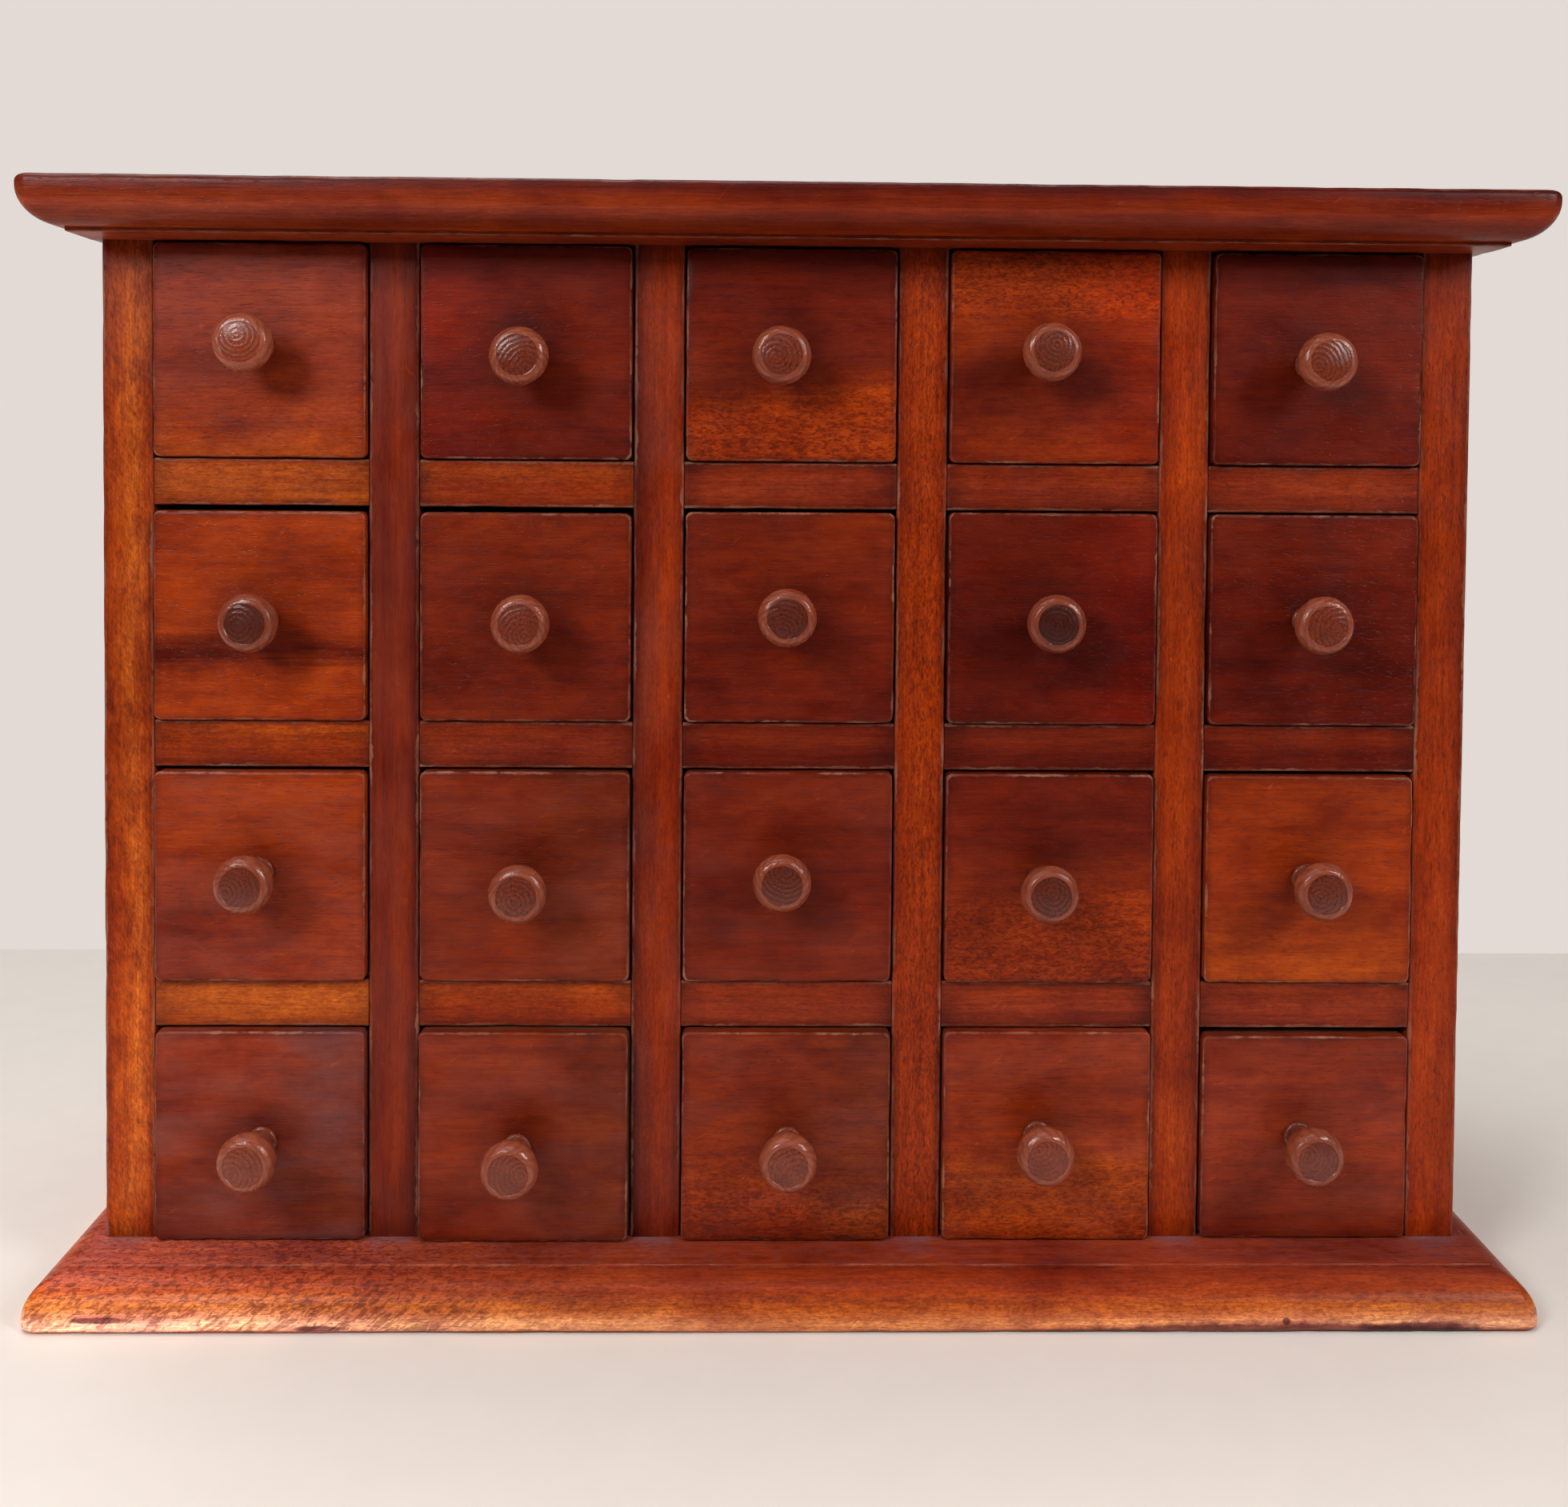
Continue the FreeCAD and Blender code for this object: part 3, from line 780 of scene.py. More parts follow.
def mouldedSurfaces(low, high, turnedOver, seed):
    # the profile goes round the front and both ends, with a corner arc that dies out towards the flat;
    # the flat and the underside are grids on the same stations, and the back is capped
    look = mouldedBoard
    inward, height, outward, upward = mouldingProfile(high[2] - low[2])
    sign = -1 if turnedOver else 1
    base = high[2] if turnedOver else low[2]
    middle = (low[0] + high[0]) / 2
    half = (high[0] - low[0]) / 2
    across = ruled(-1, 1, [0, 0.006, 0.02], look["step"] / half)
    deep = ruled(0, 1, [0, 0.012, 0.04], look["step"] / (high[1] - low[1]))
    arc = np.linspace(0, np.pi / 2, 8)[1:-1]
    # along the path: place on the inner rectangle (x from -1 to 1, y from 0 at the front to 1 at the
    # back) and the plan direction that the moulding faces
    end, turn, front = np.ones(len(deep)), np.ones(len(arc)), np.ones(len(across))
    pathX = np.concatenate([-end, -turn, across, turn, end])
    pathY = np.concatenate([deep[::-1], 0 * turn, 0 * front, 0 * turn, deep])
    facingX = np.concatenate([-end, -np.cos(arc), 0 * front, np.sin(arc), end])
    facingY = np.concatenate([0 * end, -np.sin(arc), -front, -np.cos(arc), 0 * end])
    radius = look["cornerRound"] * (1 - inward / inward[0])
    inset = (inward + radius)[:, None]
    radius = radius[:, None]
    x = middle + pathX * (half - inset) + facingX * radius
    frontLine = low[1] + inset
    y = frontLine + pathY * (high[1] - frontLine) + facingY * radius
    z = base + sign * height[:, None] + 0 * x
    points = np.stack([x, y, z], -1)
    out, up = outward[:, None], upward[:, None]
    normals = np.stack([out * facingX, out * facingY, sign * up + 0 * x], -1)
    # along the profile: the middle of the flat's eased edge, the crease below the fillet and the
    # middle of the nose's rounded foot
    run = np.concatenate([[0], np.cumsum(np.hypot(np.diff(inward), np.diff(height)))])
    filletEdge, creaseAt, footAt = run[2], run[6], run[-5]
    edgeMm = np.minimum(abs(run - filletEdge) + look["filletWearLag"], abs(run - footAt))[:, None]
    creaseMm = abs(run - creaseAt)[:, None]
    moulding = surface(points, normals, edgeMm=edgeMm, creaseMm=creaseMm, endMm=high[1] - y)

    gridX, gridY = np.meshgrid(across, deep, indexing="ij")
    flats = []
    for level, start, direction in ((height[0], inward[0], 1), (0.0, inward[-1], -1)):
        flatX = middle + gridX * (half - start)
        flatY = low[1] + start + gridY * (high[1] - low[1] - start)
        flat = np.stack([flatX, flatY, base + sign * level + 0 * flatX], -1)
        normal = np.broadcast_to([0, 0, sign * direction], flat.shape).astype(float)
        # the flat under the base is bare; the other flat meets the front of the case in a crease
        if direction > 0:
            border = np.minimum(half - abs(flatX - middle) - start, flatY - low[1] - start)
            edge = border + filletEdge + look["filletWearLag"]
            crease = abs(flatY - caseFront)
            beside = np.min([abs(flatX - (a + b) / 2) for a, b in uprightFaces], axis=0)
            nearUpright = np.exp(-((beside / look["dustWidth"]) ** 4))
            dust = look["dustEven"] + nearUpright * np.exp(-crease / look["dustDepth"])
            marks = {"edgeMm": edge, "creaseMm": crease, "dust": 0.0 if turnedOver else dust}
        else:
            marks = {"raw": 0.0 if turnedOver else 1.0}
        flats.append(surface(flat, normal, endMm=high[1] - flatY, **marks))
    return wearDown([moulding] + flats, look["edgeWear"], look["hollow"], seed)


def bareInside(y, front):
    # a board of the case is finished near its front edge and bare deep in the cell
    return np.clip((y - front - caseWood["bareFrom"]) / caseWood["bareOver"], 0, 1)


def makeCase():
    for name, look in boardLooks.items():
        low, high = boxMm(name)
        pieceName = name.replace("_", "")
        material = mahogany(pieceName + "Mahogany", {**look, "span": (low[2], high[2])})
        turnedOver = name == "top_board"
        surfaces = mouldedSurfaces(low, high, turnedOver, seed=3 if turnedOver else 8)
        makePiece(pieceName, surfaces, [material], "case", [name])

    look = caseWood
    rebateLine = boxMm("back_panel")[0][1]
    for number, (name, tonesAcross) in enumerate(uprightLooks.items()):
        (left, front, foot), (right, back, head) = boxMm(name)
        pieceName = name.replace("_", "")
        given = {
            "grain": "Z",
            "axis": "X",
            "span": (left, right),
            "endDarkening": 0.55,
            "shift": (71.0 * number, 13.0 * number, 29.0 * number),
        }
        material = mahogany(pieceName + "Mahogany", {**given, **tonesAcross})
        # a side is rebated for the back panel, and its outer face is finished all over
        corners = [(left, front), (right, front), (right, back), (left, back)]
        outside = None
        if name == "side_left":
            outside, lap = left, right - look["rebate"]
            corners[2:3] = [(right, rebateLine), (lap, rebateLine), (lap, back)]
        if name == "side_right":
            outside, lap = right, left + look["rebate"]
            corners[3:] = [(lap, back), (lap, rebateLine), (left, rebateLine)]
        outline = roundedOutline(corners, look["boardArris"], look["step"])
        place, out, marks = carriedBoard(outline, 2, foot, head, look["step"], look["uprightEnd"])
        bare = bareInside(place[..., 1], front)
        if outside is not None:
            bare = np.where(abs(place[..., 0] - outside) < look["skin"], 0, bare)
        # the foot is darker than the head
        marks["endMm"] = np.minimum(place[..., 2] - caseFoot, 2 * (caseHead - place[..., 2])).clip(0)
        board = surface(place, out, raw=bare, **marks)
        surfaces = wearDown([board], look["edgeWear"], look["hollow"], 20 + number)
        makePiece(pieceName, surfaces, [material], "case", [name])


# every shelf's front edge, by its level and column, in plain words
shelfWords = {
    3: ["amber", "orange", "red", "red", "red"],
    2: ["orange", "red", "dark", "dark", "dark"],
    1: ["amber", "orange", "red", "red", "red"],
}

shelfBands = {
    "amber": [(0, "orange", 0.3), (0.4, "amber", 0.4), (0.8, "amber", 0.5), (1, "orange", 0.4)],
    "orange": [(0, "russet", 0.2), (0.4, "ember", 0.4), (0.8, "orange", 0.5), (1, "ember", 0.3)],
    "red": [(0, "chestnut", 0.2), (0.45, "brick", 0.3), (0.8, "russet", 0.3), (1, "brick", 0.3)],
    "dark": [(0, "garnet", 0.1), (0.35, "maroon", 0.2), (0.7, "chestnut", 0.2), (1, "garnet", 0.1)],
}


def makeShelves():
    look = caseWood
    for level, words in shelfWords.items():
        name = f"shelf_row_{level}"
        low, high = boxMm(name)
        materials = []
        for number, (word, bands) in enumerate(shelfBands.items()):
            given = {
                "span": (low[2], high[2]),
                "bands": bands,
                "wander": 0.1,
                "endDarkening": 0.8,
                "shift": (130.0 * number, 40.0 * level, 17.0 * level),
            }
            materials.append(mahogany(f"{word}ShelfMahogany{level}", given))
        surfaces = []
        section = [(low[1], low[2]), (high[1], low[2]), (high[1], high[2]), (low[1], high[2])]
        outline = roundedOutline(section, look["boardArris"], look["step"])
        for column, word in enumerate(words):
            start = uprightFaces[column][1] + look["shelfPlay"]
            end = uprightFaces[column + 1][0] - look["shelfPlay"]
            place, out, marks = carriedBoard(outline, 0, start, end, look["step"], look["shelfEnd"])
            board = surface(place, out, raw=bareInside(place[..., 1], low[1]), **marks)
            board["material"] = list(shelfBands).index(word)
            surfaces += wearDown([board], look["edgeWear"], look["hollow"], 40 + 5 * level + column)
        makePiece(f"shelfRow{level}", surfaces, materials, "case", [name])


drawerFront = {
    "lip": 6.0,
    "thickness": 14.0,
    "sideThickness": 6.0,
    "corner": 2.2,
    "arris": 1.1,
    "backEase": 0.2,
    "field": 8.0,  # the flat grid starts this far in from the edge
    "edgeWear": 0.25,
    "cornerWear": 0.4,  # the corners are rubbed this much wider
    # reach in millimetres of the dirt and painted shade round the knob
    "handled": 13.0,
    "hollow": 0.12,
    "step": 2.4,
    "blockArris": 0.5,  # the front's thicker middle, behind the lip
    "blockLap": 1.0,
    "blockSunk": 0.05,
    "blockStep": 8.0,
}

drawerBox = {
    "drop": 3.0,
    "bottomRise": 4.0,
    "bottomThickness": 3.0,
    "bottomLetIn": 2.0,
    "tail": 6.0,
    "play": 0.05,
    "arris": 0.5,
    "bottomArris": 0.2,
    "step": 7.0,
}

# tones of each front from its foot to its head, with how flecked the wood is there
frontLooks = {
    "r1c1": {
        "bands": [
            (0, "orange", 0.3), (0.22, "ember", 0.3), (0.4, "brick", 0.1),
            (0.6, "brick", 0.05), (1, "brick", 0),
        ],
        "paintedSheen": 0.1,
    },
    "r1c2": {
        "bands": [(0, "maroon", 0), (0.45, "garnet", 0), (0.75, "garnet", 0), (1, "maroon", 0)],
        "fades": [(1.0, -84, -107, "flush")],
        "pores": 0.2,
    },
    "r1c3": {
        "bands": [
            (0, "ember", 0.9), (0.25, "ember", 0.8), (0.4, "chestnut", 0.2),
            (0.7, "garnet", 0.1), (1, "maroon", 0),
        ],
    },
    "r1c4": {
        "bands": [
            (0, "russet", 0.2), (0.3, "chestnut", 0.2), (0.6, "russet", 0.1),
            (0.78, "ember", 0.8), (1, "ember", 0.8),
        ],
        "fades": [(0.7, 84, 107, "flush")],
    },
    "r1c5": {
        "bands": [(0, "maroon", 0), (0.4, "garnet", 0), (0.7, "garnet", 0), (1, "maroon", 0)],
        "pores": 0.2,
    },
    "r2c1": {
        "bands": [
            (0, "ember", 0.1), (0.2, "ember", 0.2), (0.28, "maroon", 0.1),
            (0.38, "ember", 0.1), (1, "ember", 0.05),
        ],
        "pores": 0.25,
    },
    "r2c2": {
        "bands": [(0, "chestnut", 0), (0.4, "garnet", 0), (0.7, "chestnut", 0), (1, "russet", 0)],
        "blotch": 0.7,
    },
    "r2c3": {
        "bands": [(0, "garnet", 0), (0.4, "garnet", 0), (0.8, "chestnut", 0), (1, "russet", 0)],
        "pores": 0.2,
    },
    "r2c4": {
        "bands": [(0, "maroon", 0), (0.4, "wine", 0), (0.7, "maroon", 0), (1, "garnet", 0)],
        "fades": [(1.0, 84, 107, "flush")],
        "pores": 0.2,
    },
    "r2c5": {
        "bands": [(0, "maroon", 0), (0.5, "maroon", 0), (0.8, "garnet", 0), (1, "garnet", 0)],
        "pores": 0.2,
    },
    "r3c1": {
        "bands": [(0, "brick", 0.1), (0.35, "brick", 0.1), (0.6, "ember", 0), (1, "ember", 0)],
        "paintedSheen": 0.2,
    },
    "r3c2": {
        "bands": [(0, "russet", 0), (0.5, "russet", 0), (1, "chestnut", 0)],
        "fades": [(0.8, -90, -68, "shade")],
        "pores": 0.25,
        "paintedSheen": 0.12,
    },
    "r3c3": {
        "bands": [(0, "chestnut", 0), (0.5, "garnet", 0), (1, "chestnut", 0)],
        "pores": 0.25,
        "paintedSheen": 0.1,
    },
    "r3c4": {
        "bands": [
            (0, "russet", 0.8), (0.3, "ember", 0.8), (0.42, "russet", 0.3), (0.7, "garnet", 0),
            (1, "garnet", 0),
        ],
    },
    "r3c5": {
        "bands": [(0, "orange", 0.2), (0.4, "ember", 0.1), (0.7, "ember", 0), (1, "russet", 0.1)],
    },
    # the darker tones at the foot of r4c1, r4c2, r4c3 and r4c5 are painted shade
    "r4c1": {
        "bands": [(0, "garnet", 0), (0.3, "russet", 0), (0.7, "brick", 0), (1, "brick", 0)],
        "fades": [(1.0, -168, -145, "shade")],
        "paintedSheen": 0.4,
    },
    "r4c2": {
        "bands": [(0, "chestnut", 0), (0.4, "russet", 0), (1, "russet", 0)],
        "fades": [(1.0, -84, -61, "shade")],
        "pores": 0.25,
        "paintedSheen": 0.15,
    },
    "r4c3": {
        "bands": [
            (0, "chestnut", 0.6), (0.22, "ember", 0.9), (0.38, "russet", 0.3),
            (0.7, "russet", 0), (1, "russet", 0),
        ],
        "fades": [(1.0, 0, 23, "shade")],
        "paintedSheen": 0.12,
    },
    "r4c4": {
        "bands": [
            (0, "ember", 0.7), (0.3, "orange", 0.7), (0.5, "ember", 0.2), (0.75, "russet", 0),
            (1, "brick", 0),
        ],
        "paintedSheen": 0.12,
    },
    "r4c5": {
        "bands": [(0, "chestnut", 0), (0.5, "brick", 0), (0.8, "brick", 0), (1, "russet", 0)],
        "paintedSheen": 0.12,
    },
}


def ringLoft(halfX, halfZ, rings, stationsX, stationsZ):
    # a stack of rounded rectangles: each ring is given by its inset from the outline, its corner
    # radius and its depth, and all rings share their stations, so that they join as one grid
    inset, radius, depth = np.array(rings, float).T
    corner = np.linspace(0, np.pi / 2, 6)[1:-1]
    full = np.ones_like(corner)
    sides = [
        (stationsX, -1 + 0 * stationsX, -np.pi / 2 + 0 * stationsX),
        (full, -full, corner - np.pi / 2),
        (1 + 0 * stationsZ, stationsZ, 0 * stationsZ),
        (full, full, corner),
        (stationsX[::-1], 1 + 0 * stationsX, np.pi / 2 + 0 * stationsX),
        (-full, full, corner + np.pi / 2),
        (-1 + 0 * stationsZ, stationsZ[::-1], np.pi + 0 * stationsZ),
        (-full, -full, corner + np.pi),
        (stationsX[:1], -np.ones(1), np.full(1, -np.pi / 2)),
    ]
    placeX, placeZ, facing = [np.concatenate(values) for values in zip(*sides)]
    reachX = (halfX - inset - radius)[:, None]
    reachZ = (halfZ - inset - radius)[:, None]
    x = placeX * reachX + np.cos(facing) * radius[:, None]
    z = placeZ * reachZ + np.sin(facing) * radius[:, None]
    return x, z, depth[:, None] + 0 * x, facing


def frontSurfaces(low, high, seed):
    # rings from the flat field over the eased arris and down the edge to the back of the lip, then a
    # grid on the field and one behind it. A ring has inset, corner radius, depth, distance from the
    # arris, and how far it faces outwards and backwards
    look = drawerFront
    halfX = (high[0] - low[0]) / 2
    halfZ = (high[2] - low[2]) / 2
    middle = (low + high) / 2
    face = low[1]
    corner, arris, lip, field = look["corner"], look["arris"], look["lip"], look["field"]
    ease = look["backEase"]
    stationsX = ruled(-1, 1, [0], look["step"] / halfX)
    stationsZ = ruled(-1, 1, [0], look["step"] / halfZ)
    rings = []
    for inset in (field, 5.0, 3.4, 2.2):
        rings.append((inset, max(corner - inset, 0), 0, inset - 0.2 * arris, 0, -1))
    for turn in np.linspace(0, np.pi / 2, 6):
        inset = arris * (1 - math.sin(turn))
        gap = arris * abs(turn - np.pi / 4)
        depth = arris * (1 - math.cos(turn))
        rings.append((inset, corner - inset, depth, gap, math.sin(turn), -math.cos(turn)))
    rings += [(0, corner, lip / 2, 2.8, 1, 0), (0, corner, lip - ease, 5, 1, 0)]
    rings.append((ease, corner - ease, lip, 5, 1, 0))
    rings += [(inset, max(corner - inset, 0), lip, 9, 0, 1) for inset in (2.2, 5.0, field)]
    rings = np.array(rings, float)
    edgeMm, outShare, faceShare = rings[:, 3:].T[..., None]
    x, z, depth, facing = ringLoft(halfX, halfZ, rings[:, :3], stationsX, stationsZ)
    points = np.stack([middle[0] + x, face + depth, middle[2] + z], -1)
    normals = np.stack([np.cos(facing) * outShare, faceShare + 0 * x, np.sin(facing) * outShare], -1)
    roundness = rings[:, 1:2] / corner
    rubbed = (edgeMm - look["cornerWear"] * roundness * abs(np.sin(2 * facing))).clip(0)
    loft = surface(points, normals, edgeMm=rubbed, raw=np.where(depth >= lip - ease, 1.0, 0.0))
    gridX, gridZ = np.meshgrid(stationsX, stationsZ, indexing="ij")
    plates = []
    for depthAt, direction in ((0.0, -1), (lip, 1)):
        fieldX = middle[0] + gridX * (halfX - field)
        fieldZ = middle[2] + gridZ * (halfZ - field)
        plate = np.stack([fieldX, face + depthAt + 0 * gridX, fieldZ], -1)
        normal = np.broadcast_to([0, direction, 0], plate.shape).astype(float)
        fromKnob = np.hypot(fieldX - middle[0], fieldZ - middle[2])
        # dirt and painted shade round the knob's foot, on the front face only
        handled = np.exp(-((fromKnob / look["handled"]) ** 2)) * (direction < 0)
        plates.append(surface(plate, normal, raw=float(direction > 0), handled=handled))
    worn = wearDown([loft] + plates, look["edgeWear"], look["hollow"], seed)
    inner, sunk = halfX - look["sideThickness"], look["blockSunk"]
    start = (middle[0] - inner, face + lip - look["blockLap"], low[2] + sunk)
    end = (middle[0] + inner, face + look["thickness"], high[2] - sunk)
    return worn + roundedBox(start, end, look["blockArris"], look["blockStep"], 0, raw=1.0, edgeMm=9.0)


def boxSurfaces(low, high):
    # two sides, a bottom let into them and into the front, and a tail that stands on the bottom
    look = drawerBox
    front = drawerFront
    rim = high[2] - look["drop"]
    inner = low[1] + front["thickness"]
    side = front["sideThickness"]
    floor = low[2] + look["bottomRise"]
    top = floor + look["bottomThickness"]
    play = look["play"]
    arris, step = look["arris"], look["step"]
    parts = []
    for x0 in (low[0], high[0] - side):
        start = (x0, low[1] + front["lip"] + play, low[2])
        parts += roundedBox(start, (x0 + side, high[1], rim), arris, step, 1, grainAcross=0.0)
    x0, x1 = low[0] + side, high[0] - side
    tailStart = (x0 + play, high[1] - look["tail"], top + play)
    parts += roundedBox(tailStart, (x1 - play, high[1], rim), arris, step, 0, grainAcross=1.0)
    letIn = look["bottomLetIn"]
    bottomStart = (x0 - letIn, inner - letIn, floor)
    bottomEnd = (x1 + letIn, high[1], top)
    parts += roundedBox(bottomStart, bottomEnd, look["bottomArris"], step, 1, grainAcross=1.0)
    return parts


turnedKnob = {
    "projection": 19.0,
    "radius": 9.15,
    "footRadius": 4.8,
    "footHeight": 1.4,
    "footBulge": 0.2,
    "footDraw": 0.35,
    "neckRadius": 3.7,
    "headHeight": 7.4,
    "lipRadius": 8.25,
    "lipHeight": 3.3,
    "faceRadius": 6.4,
    "faceSink": 0.25,
    "dome": 0.3,
    "rootMm": 2.0,  # how far the neck runs on into the front
    "outOfRound": 0.006,
    "dent": 0.012,
    "around": 72,
}

# for each knob, how dark its face is and how dark the whole
knobTones = {
    "r1c1": (0.2, 0.0),
    "r1c2": (0.5, 0.3),
    "r1c3": (0.4, 0.35),
    "r1c4": (0.5, 0.3),
    "r1c5": (0.4, 0.25),
    "r2c1": (0.8, 0.5),
    "r2c2": (0.4, 0.35),
    "r2c3": (0.8, 0.3),
    "r2c4": (1.0, 0.55),
    "r2c5": (0.4, 0.35),
    "r3c1": (0.5, 0.4),
    "r3c2": (0.5, 0.35),
    "r3c3": (0.7, 0.4),
    "r3c4": (0.7, 0.45),
    "r3c5": (0.6, 0.35),
    "r4c1": (0.3, 0.2),
    "r4c2": (0.4, 0.25),
    "r4c3": (0.4, 0.25),
    "r4c4": (0.3, 0.3),
    "r4c5": (0.4, 0.5),
}


def knobSurface(centre, face, faceDark, tone, seed):
    # half section turned about the knob's axis: foot ring, cove and rolled rim are quarter ellipses,
    # a fine turned line rings the face, and the face is a shallow dome
    look = turnedKnob
    projection, radiusMm, foot = look["projection"], look["radius"], look["footHeight"]
    crown = projection - look["dome"]
    headStart = projection - look["headHeight"]
    widest = headStart + look["lipHeight"]
    lip = look["lipRadius"]
    neckRadius, faceRadius = look["neckRadius"], look["faceRadius"]
    quarter = np.linspace(0, np.pi / 2, 12)
    footRun = np.linspace(0, 1, 6)
    faceRun = np.linspace(1, 0, 9)
    radius = [
        [neckRadius],
        look["footRadius"] + look["footBulge"] * np.sin(np.pi * footRun) - look["footDraw"] * footRun**2,
        lip - (lip - neckRadius) * np.cos(quarter),
        [(lip + radiusMm) / 2],
        faceRadius + (radiusMm - faceRadius) * np.cos(quarter),
        (faceRadius - look["faceSink"]) * faceRun,
    ]
    out = [
        [-look["rootMm"]],
        foot * footRun,
        foot + (headStart - foot) * np.sin(quarter),
        [(headStart + widest) / 2],
        widest + (crown - widest) * np.sin(quarter),
        projection - (look["dome"] + look["faceSink"]) * faceRun**2,
    ]
    # how much of each point is face and neck: 20 points up to the widest place, 12 round the rim and
    # 9 on the face
    onFace = [np.zeros(20), np.linspace(0, 0.35, 12), np.ones(9)]
    atNeck = [[1], np.full(6, 0.9), np.linspace(0.85, 0.25, 12), [0.1], np.zeros(21)]
    radius, out, onFace, atNeck = [np.concatenate(v).astype(float) for v in (radius, out, onFace, atNeck)]
    random = np.random.default_rng(seed)
    angle = np.linspace(0, 2 * np.pi, look["around"] + 1)
    wobble = 1 - look["outOfRound"] * (1 + np.cos(2 * angle + random.uniform(0, 6)))
    own = np.stack(
        [
            radius[:, None] * np.cos(angle) * wobble,
            -out[:, None] + 0 * angle,
            radius[:, None] * np.sin(angle) * wobble,
        ],
        -1,
    )
    dents = softWaves(own.reshape(-1, 3), 6, seed + 5).reshape(own.shape[:2]).clip(0.4, 1.5) - 0.4
    points = own.copy()
    points[..., [0, 2]] *= (1 - look["dent"] * dents)[..., None]
    points[:, -1] = points[:, 0]
    part = surface(
        points + [centre[0], face, centre[2]],
        face=(onFace * (0.35 + 0.65 * faceDark))[:, None],
        neck=atNeck[:, None],
        tone=tone,
    )
    spot = random.uniform(-40, 40, 3)
    part["own"] = own.reshape(-1, 3) + spot * [knobWood["alongGrain"], 1, knobWood["alongGrain"]]
    return part


def makeKnob(name, part, material, body, node):
    # the knob keeps its own coordinates, so that the grain's rings lie round a place near its axis.
    # They go through makePiece as three marks, because that welds the points, and come out as one
    own = part.pop("own")
    for index, axis in enumerate("XYZ"):
        part["marks"]["own" + axis] = own[:, index]
    piece = makePiece(name, [part], [material], body, [node])
    mesh = piece.data
    values = np.empty((len(mesh.vertices), 3), np.float32)
    column = np.empty(len(mesh.vertices), np.float32)
    for index, axis in enumerate("XYZ"):
        mesh.attributes["own" + axis].data.foreach_get("value", column)
        values[:, index] = column
        mesh.attributes.remove(mesh.attributes["own" + axis])
    mesh.attributes.new("own", "FLOAT_VECTOR", "POINT").data.foreach_set("vector", values.ravel())


# drawer fronts are softer and more clouded than the case
frontFigure = {
    "wander": 0.1,
    "streak": 0.4,
    "line": 0.12,
    "fibre": 0.32,
    "blotch": 0.85,
    "mottle": 0.5,
    "wear": 0.8,
}


def makeDrawers():
    boxWood = plainWood("plainDrawerBoxWood")
    knobMaterial = turnedKnobWood()
    for row in range(rows):
        for column in range(columns):
            place = f"r{row + 1}c{column + 1}"
            number = row * columns + column
            body = f"drawer_{place}"
            low, high = boxMm(body)
            shift = (83.0 * number, 31.0 * number, 57.0 * number)
            given = {"span": (low[2], high[2]), "shift": shift, **frontFigure}
            material = mahogany(f"frontMahogany_{place}", {**given, **frontLooks[place]})
            front = frontSurfaces(low, high, 100 + 3 * number)
            makePiece(f"front_{place}", front, [material], body, [body])
            makePiece(f"box_{place}", boxSurfaces(low, high), [boxWood], body, [body])
            knobLow, knobHigh = boxMm(f"knob_{place}")
            faceDark, tone = knobTones[place]
            part = knobSurface((knobLow + knobHigh) / 2, low[1], faceDark, tone, 300 + number)
            makeKnob(f"knob_{place}", part, knobMaterial, body, f"knob_{place}")


print("case boards")
makeCase()
print("shelves")
makeShelves()
print("drawers")
makeDrawers()

print("back panel and fasteners")
panelLow, panelHigh = boxMm("back_panel")
panelWood = plainWood("agedBackPanelWood")
panel = roundedBox(panelLow, panelHigh, radius=0.4, step=12.0, grain=2, grainAcross=0.0)
makePiece("backPanel", panel, [panelWood], "case", ["back_panel"])
steel = dullSteel()
dowelWood = plainWood("plainDowelWood")
for nodeName, material in (("base_screws", steel), ("panel_pins", steel), ("top_dowels", dowelWood)):
    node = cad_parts[nodeName]
    node.data.materials.clear()
    node.data.materials.append(material)

stageLook = {
    "floor": "#ECE3DA",
    "floorMottle": 60.0,
    "wall": "#E3DAD5",
    "wallLine": 281.0,  # millimetres behind the middle of the case
    "reach": 9.0,  # metres to the sides and the back
    "tableFront": 0.75,
    "worldStrength": 0.09,
    "bounce": (-230.0, -470.0),  # the table darkens over these millimetres
    "bounceTint": (0.25, 0.25, 0.25, 1),
    "bounceSeen": 0.42,  # the share of that darkening which the camera sees
}

# square soft lamps round the cabinet: places and sizes in metres
lampAim = (0, 0, 0.17)  # the middle of the case
lights = {
    "softboxLeft": {"place": (-0.6, -0.8, 0.72), "size": 0.34, "watts": 6.5},
    "softboxRight": {"place": (0.8, -0.7, 0.7), "size": 0.34, "watts": 6.1},
    "window": {"place": (0.1, -2.4, 1.9), "size": 1.4, "watts": 5.0},
    "ceiling": {"place": (-0.8, 0.4, 3.6), "size": 3.0, "watts": 92.0},
}

# the place is in millimetres and the angles in radians; the focal length, the row that the lens's
# axis meets and the frame are in pixels of the render
cameraView = {
    "place": (-10.18, -538.42, 264.93),
    "yaw": 0.01684,
    "pitch": 0.02746,
    "roll": 0.00815,
    "focal": 1890.0,
    "axisRow": 635.2,
    "width": 1960.0,
    "height": 1884.0,
    "sensor": 36.0,
}


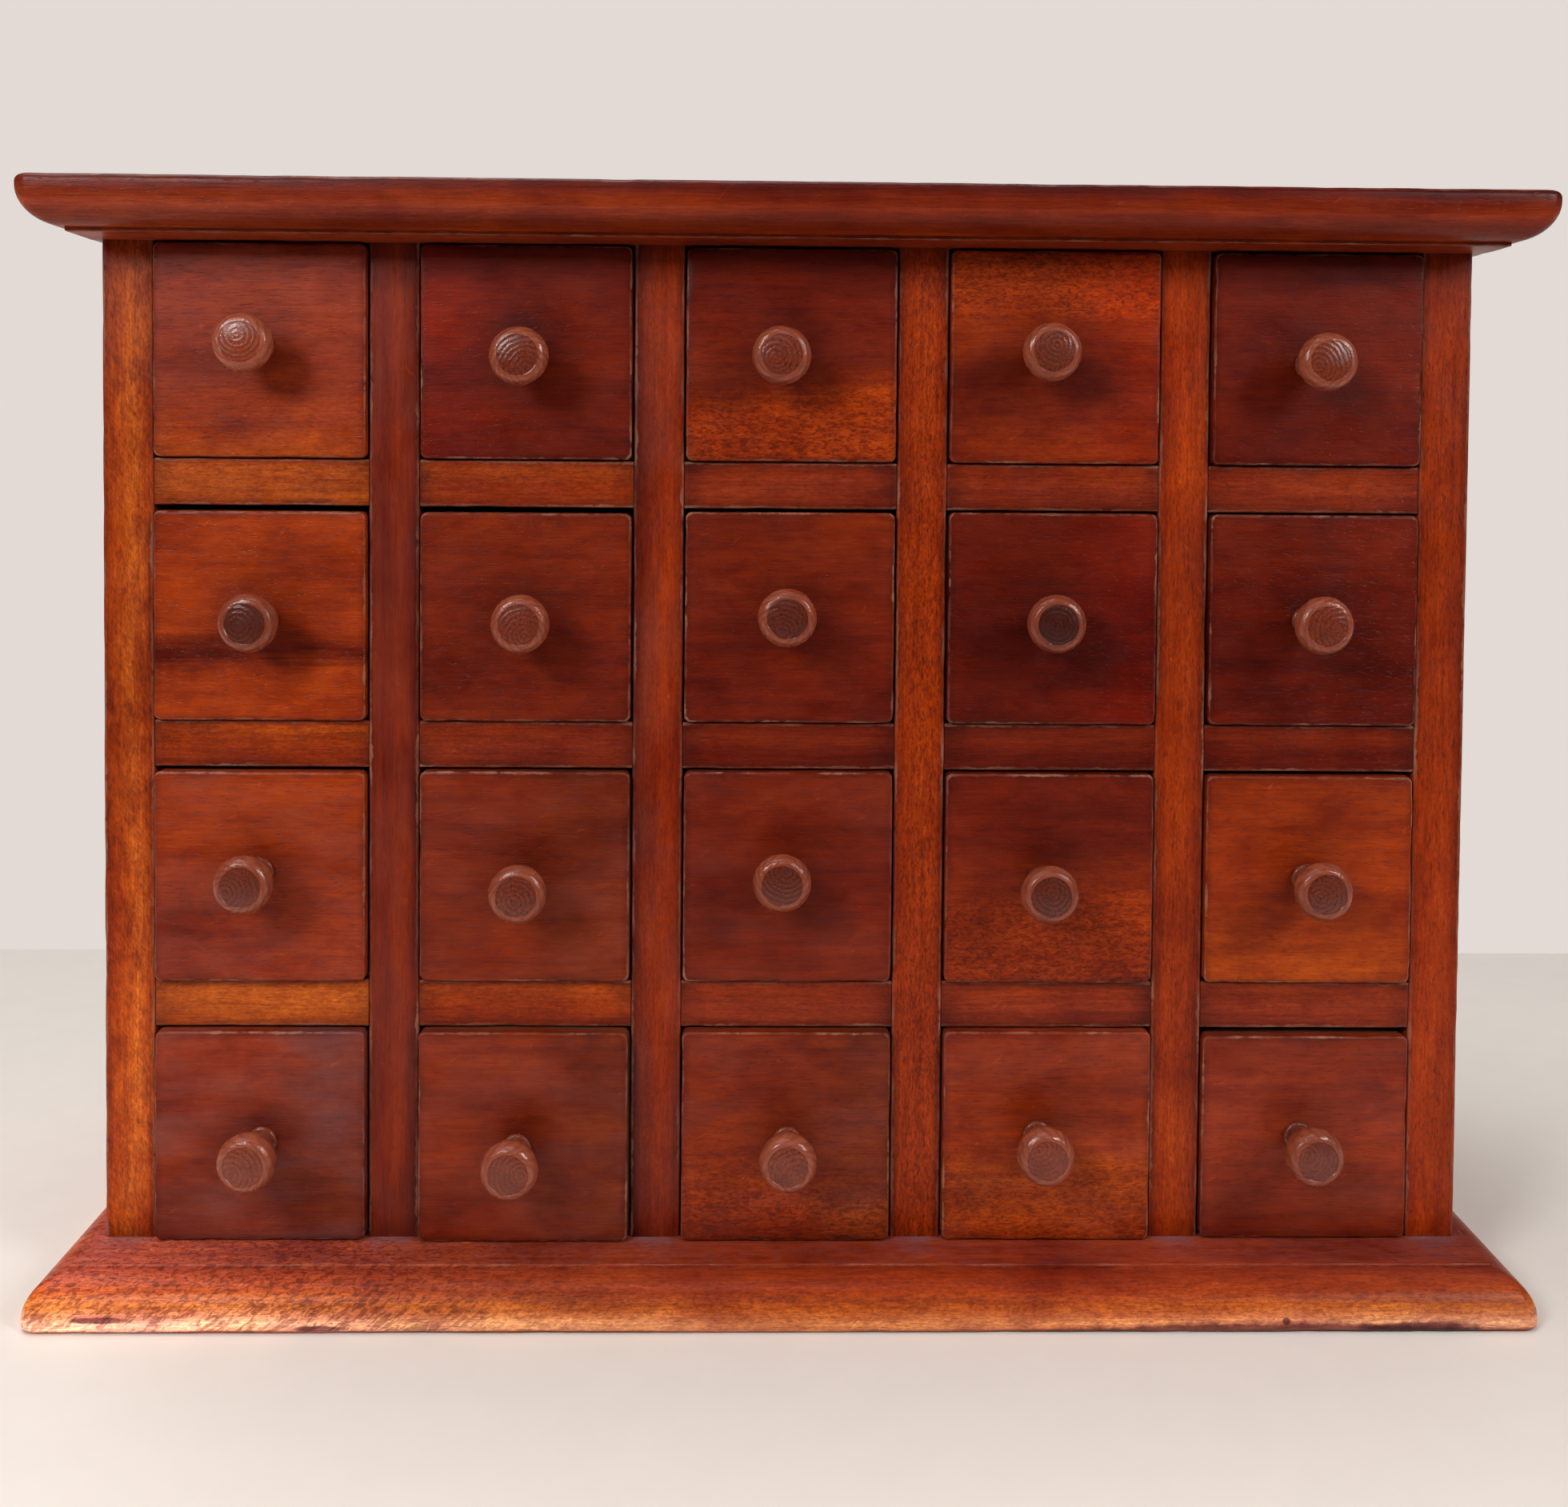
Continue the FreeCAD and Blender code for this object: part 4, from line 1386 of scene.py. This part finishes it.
def makeStage():
    # a pale floor; what lies behind the back line shows as plain wall to the camera
    look = stageLook
    mesh = bpy.data.meshes.new("floor")
    reach = look["reach"]
    near = -look["tableFront"]
    corners = [(-reach, near, 0), (reach, near, 0), (reach, reach, 0), (-reach, reach, 0)]
    mesh.from_pydata(corners, [], [(0, 1, 2, 3)])
    floor = bpy.data.objects.new("floor", mesh)
    bpy.context.scene.collection.objects.link(floor)
    # matt painted table top, with the faintest mottle
    material, tree = newMaterial("paleTable")
    place = addNode(tree, "TexCoord", output="Object")
    y = addNode(tree, "SeparateXYZ", {0: place}, "Y")
    mottle = addNode(tree, "TexNoise", {"Vector": place, "Scale": look["floorMottle"]})
    colour = layer(tree, linear(look["floor"]), mottle, 0.3, 0.7, 1.0, (0.98, 0.98, 0.98, 1))
    path = addNode(tree, "LightPath").node.outputs
    # towards the lamps the table is darker, and most so for the light that it throws on the front
    near, far = look["bounce"]
    dim = addNode(tree, "MapRange", {0: path["Is Camera Ray"], 3: 1.0, 4: look["bounceSeen"]})
    colour = layer(tree, colour, y, near * mm, far * mm, dim, look["bounceTint"])
    shader = addNode(tree, "BsdfPrincipled", {"Base Color": colour, "Roughness": 0.7})
    wall = addNode(tree, "Emission", {"Color": linear(look["wall"])})
    rays = {0: path["Is Camera Ray"], 1: path["Is Glossy Ray"]}
    seen = addNode(tree, "Math", rays, operation="MAXIMUM")
    beyond = addNode(tree, "Math", {0: y, 1: look["wallLine"] * mm}, operation="GREATER_THAN")
    share = addNode(tree, "Math", {0: seen, 1: beyond}, operation="MULTIPLY")
    mixed = addNode(tree, "MixShader", {0: share, 1: shader, 2: wall})
    addNode(tree, "OutputMaterial", {"Surface": mixed})
    mesh.materials.append(material)

    world = bpy.data.worlds.new("paleRoom")
    world.use_nodes = True
    bpy.context.scene.world = world
    tree = world.node_tree
    tree.nodes.clear()
    room = addNode(tree, "Background", {"Strength": look["worldStrength"], "Color": (1, 1, 1, 1)})
    wall = addNode(tree, "Background", {"Color": linear(look["wall"])})
    seen = addNode(tree, "LightPath", output="Is Camera Ray")
    mixed = addNode(tree, "MixShader", {0: seen, 1: room, 2: wall})
    addNode(tree, "OutputWorld", {"Surface": mixed})


def makeLights():
    for name, look in lights.items():
        data = bpy.data.lights.new(name, "AREA")
        data.shape = "SQUARE"
        data.size = look["size"]
        data.energy = look["watts"]
        lamp = bpy.data.objects.new(name, data)
        lamp.location = look["place"]
        aim = Vector(lampAim) - Vector(look["place"])
        lamp.rotation_mode = "QUATERNION"
        lamp.rotation_quaternion = aim.to_track_quat("-Z", "Y")
        bpy.context.scene.collection.objects.link(lamp)


def makeCamera():
    look = cameraView
    data = bpy.data.cameras.new("camera")
    data.sensor_width = look["sensor"]
    data.lens = look["sensor"] * look["focal"] / look["width"]
    data.shift_y = -(look["height"] / 2 - look["axisRow"]) / look["width"]
    data.clip_start = 0.01
    data.clip_end = 100
    yaw, pitch, roll = look["yaw"], look["pitch"], look["roll"]
    level = math.cos(pitch)
    forward = Vector((math.sin(yaw) * level, math.cos(yaw) * level, -math.sin(pitch)))
    right = Vector((math.cos(yaw), -math.sin(yaw), 0))
    up = right.cross(forward)
    rolledRight = math.cos(roll) * right + math.sin(roll) * up
    rolledUp = math.cos(roll) * up - math.sin(roll) * right
    turned = Matrix((rolledRight, rolledUp, -forward)).transposed().to_4x4()
    turned.translation = Vector(look["place"]) * mm
    camera = bpy.data.objects.new("camera", data)
    camera.matrix_world = turned
    bpy.context.scene.collection.objects.link(camera)
    bpy.context.scene.camera = camera


print("stage, light and camera")
makeStage()
makeLights()
makeCamera()
bpy.context.scene.view_settings.view_transform = "Standard"
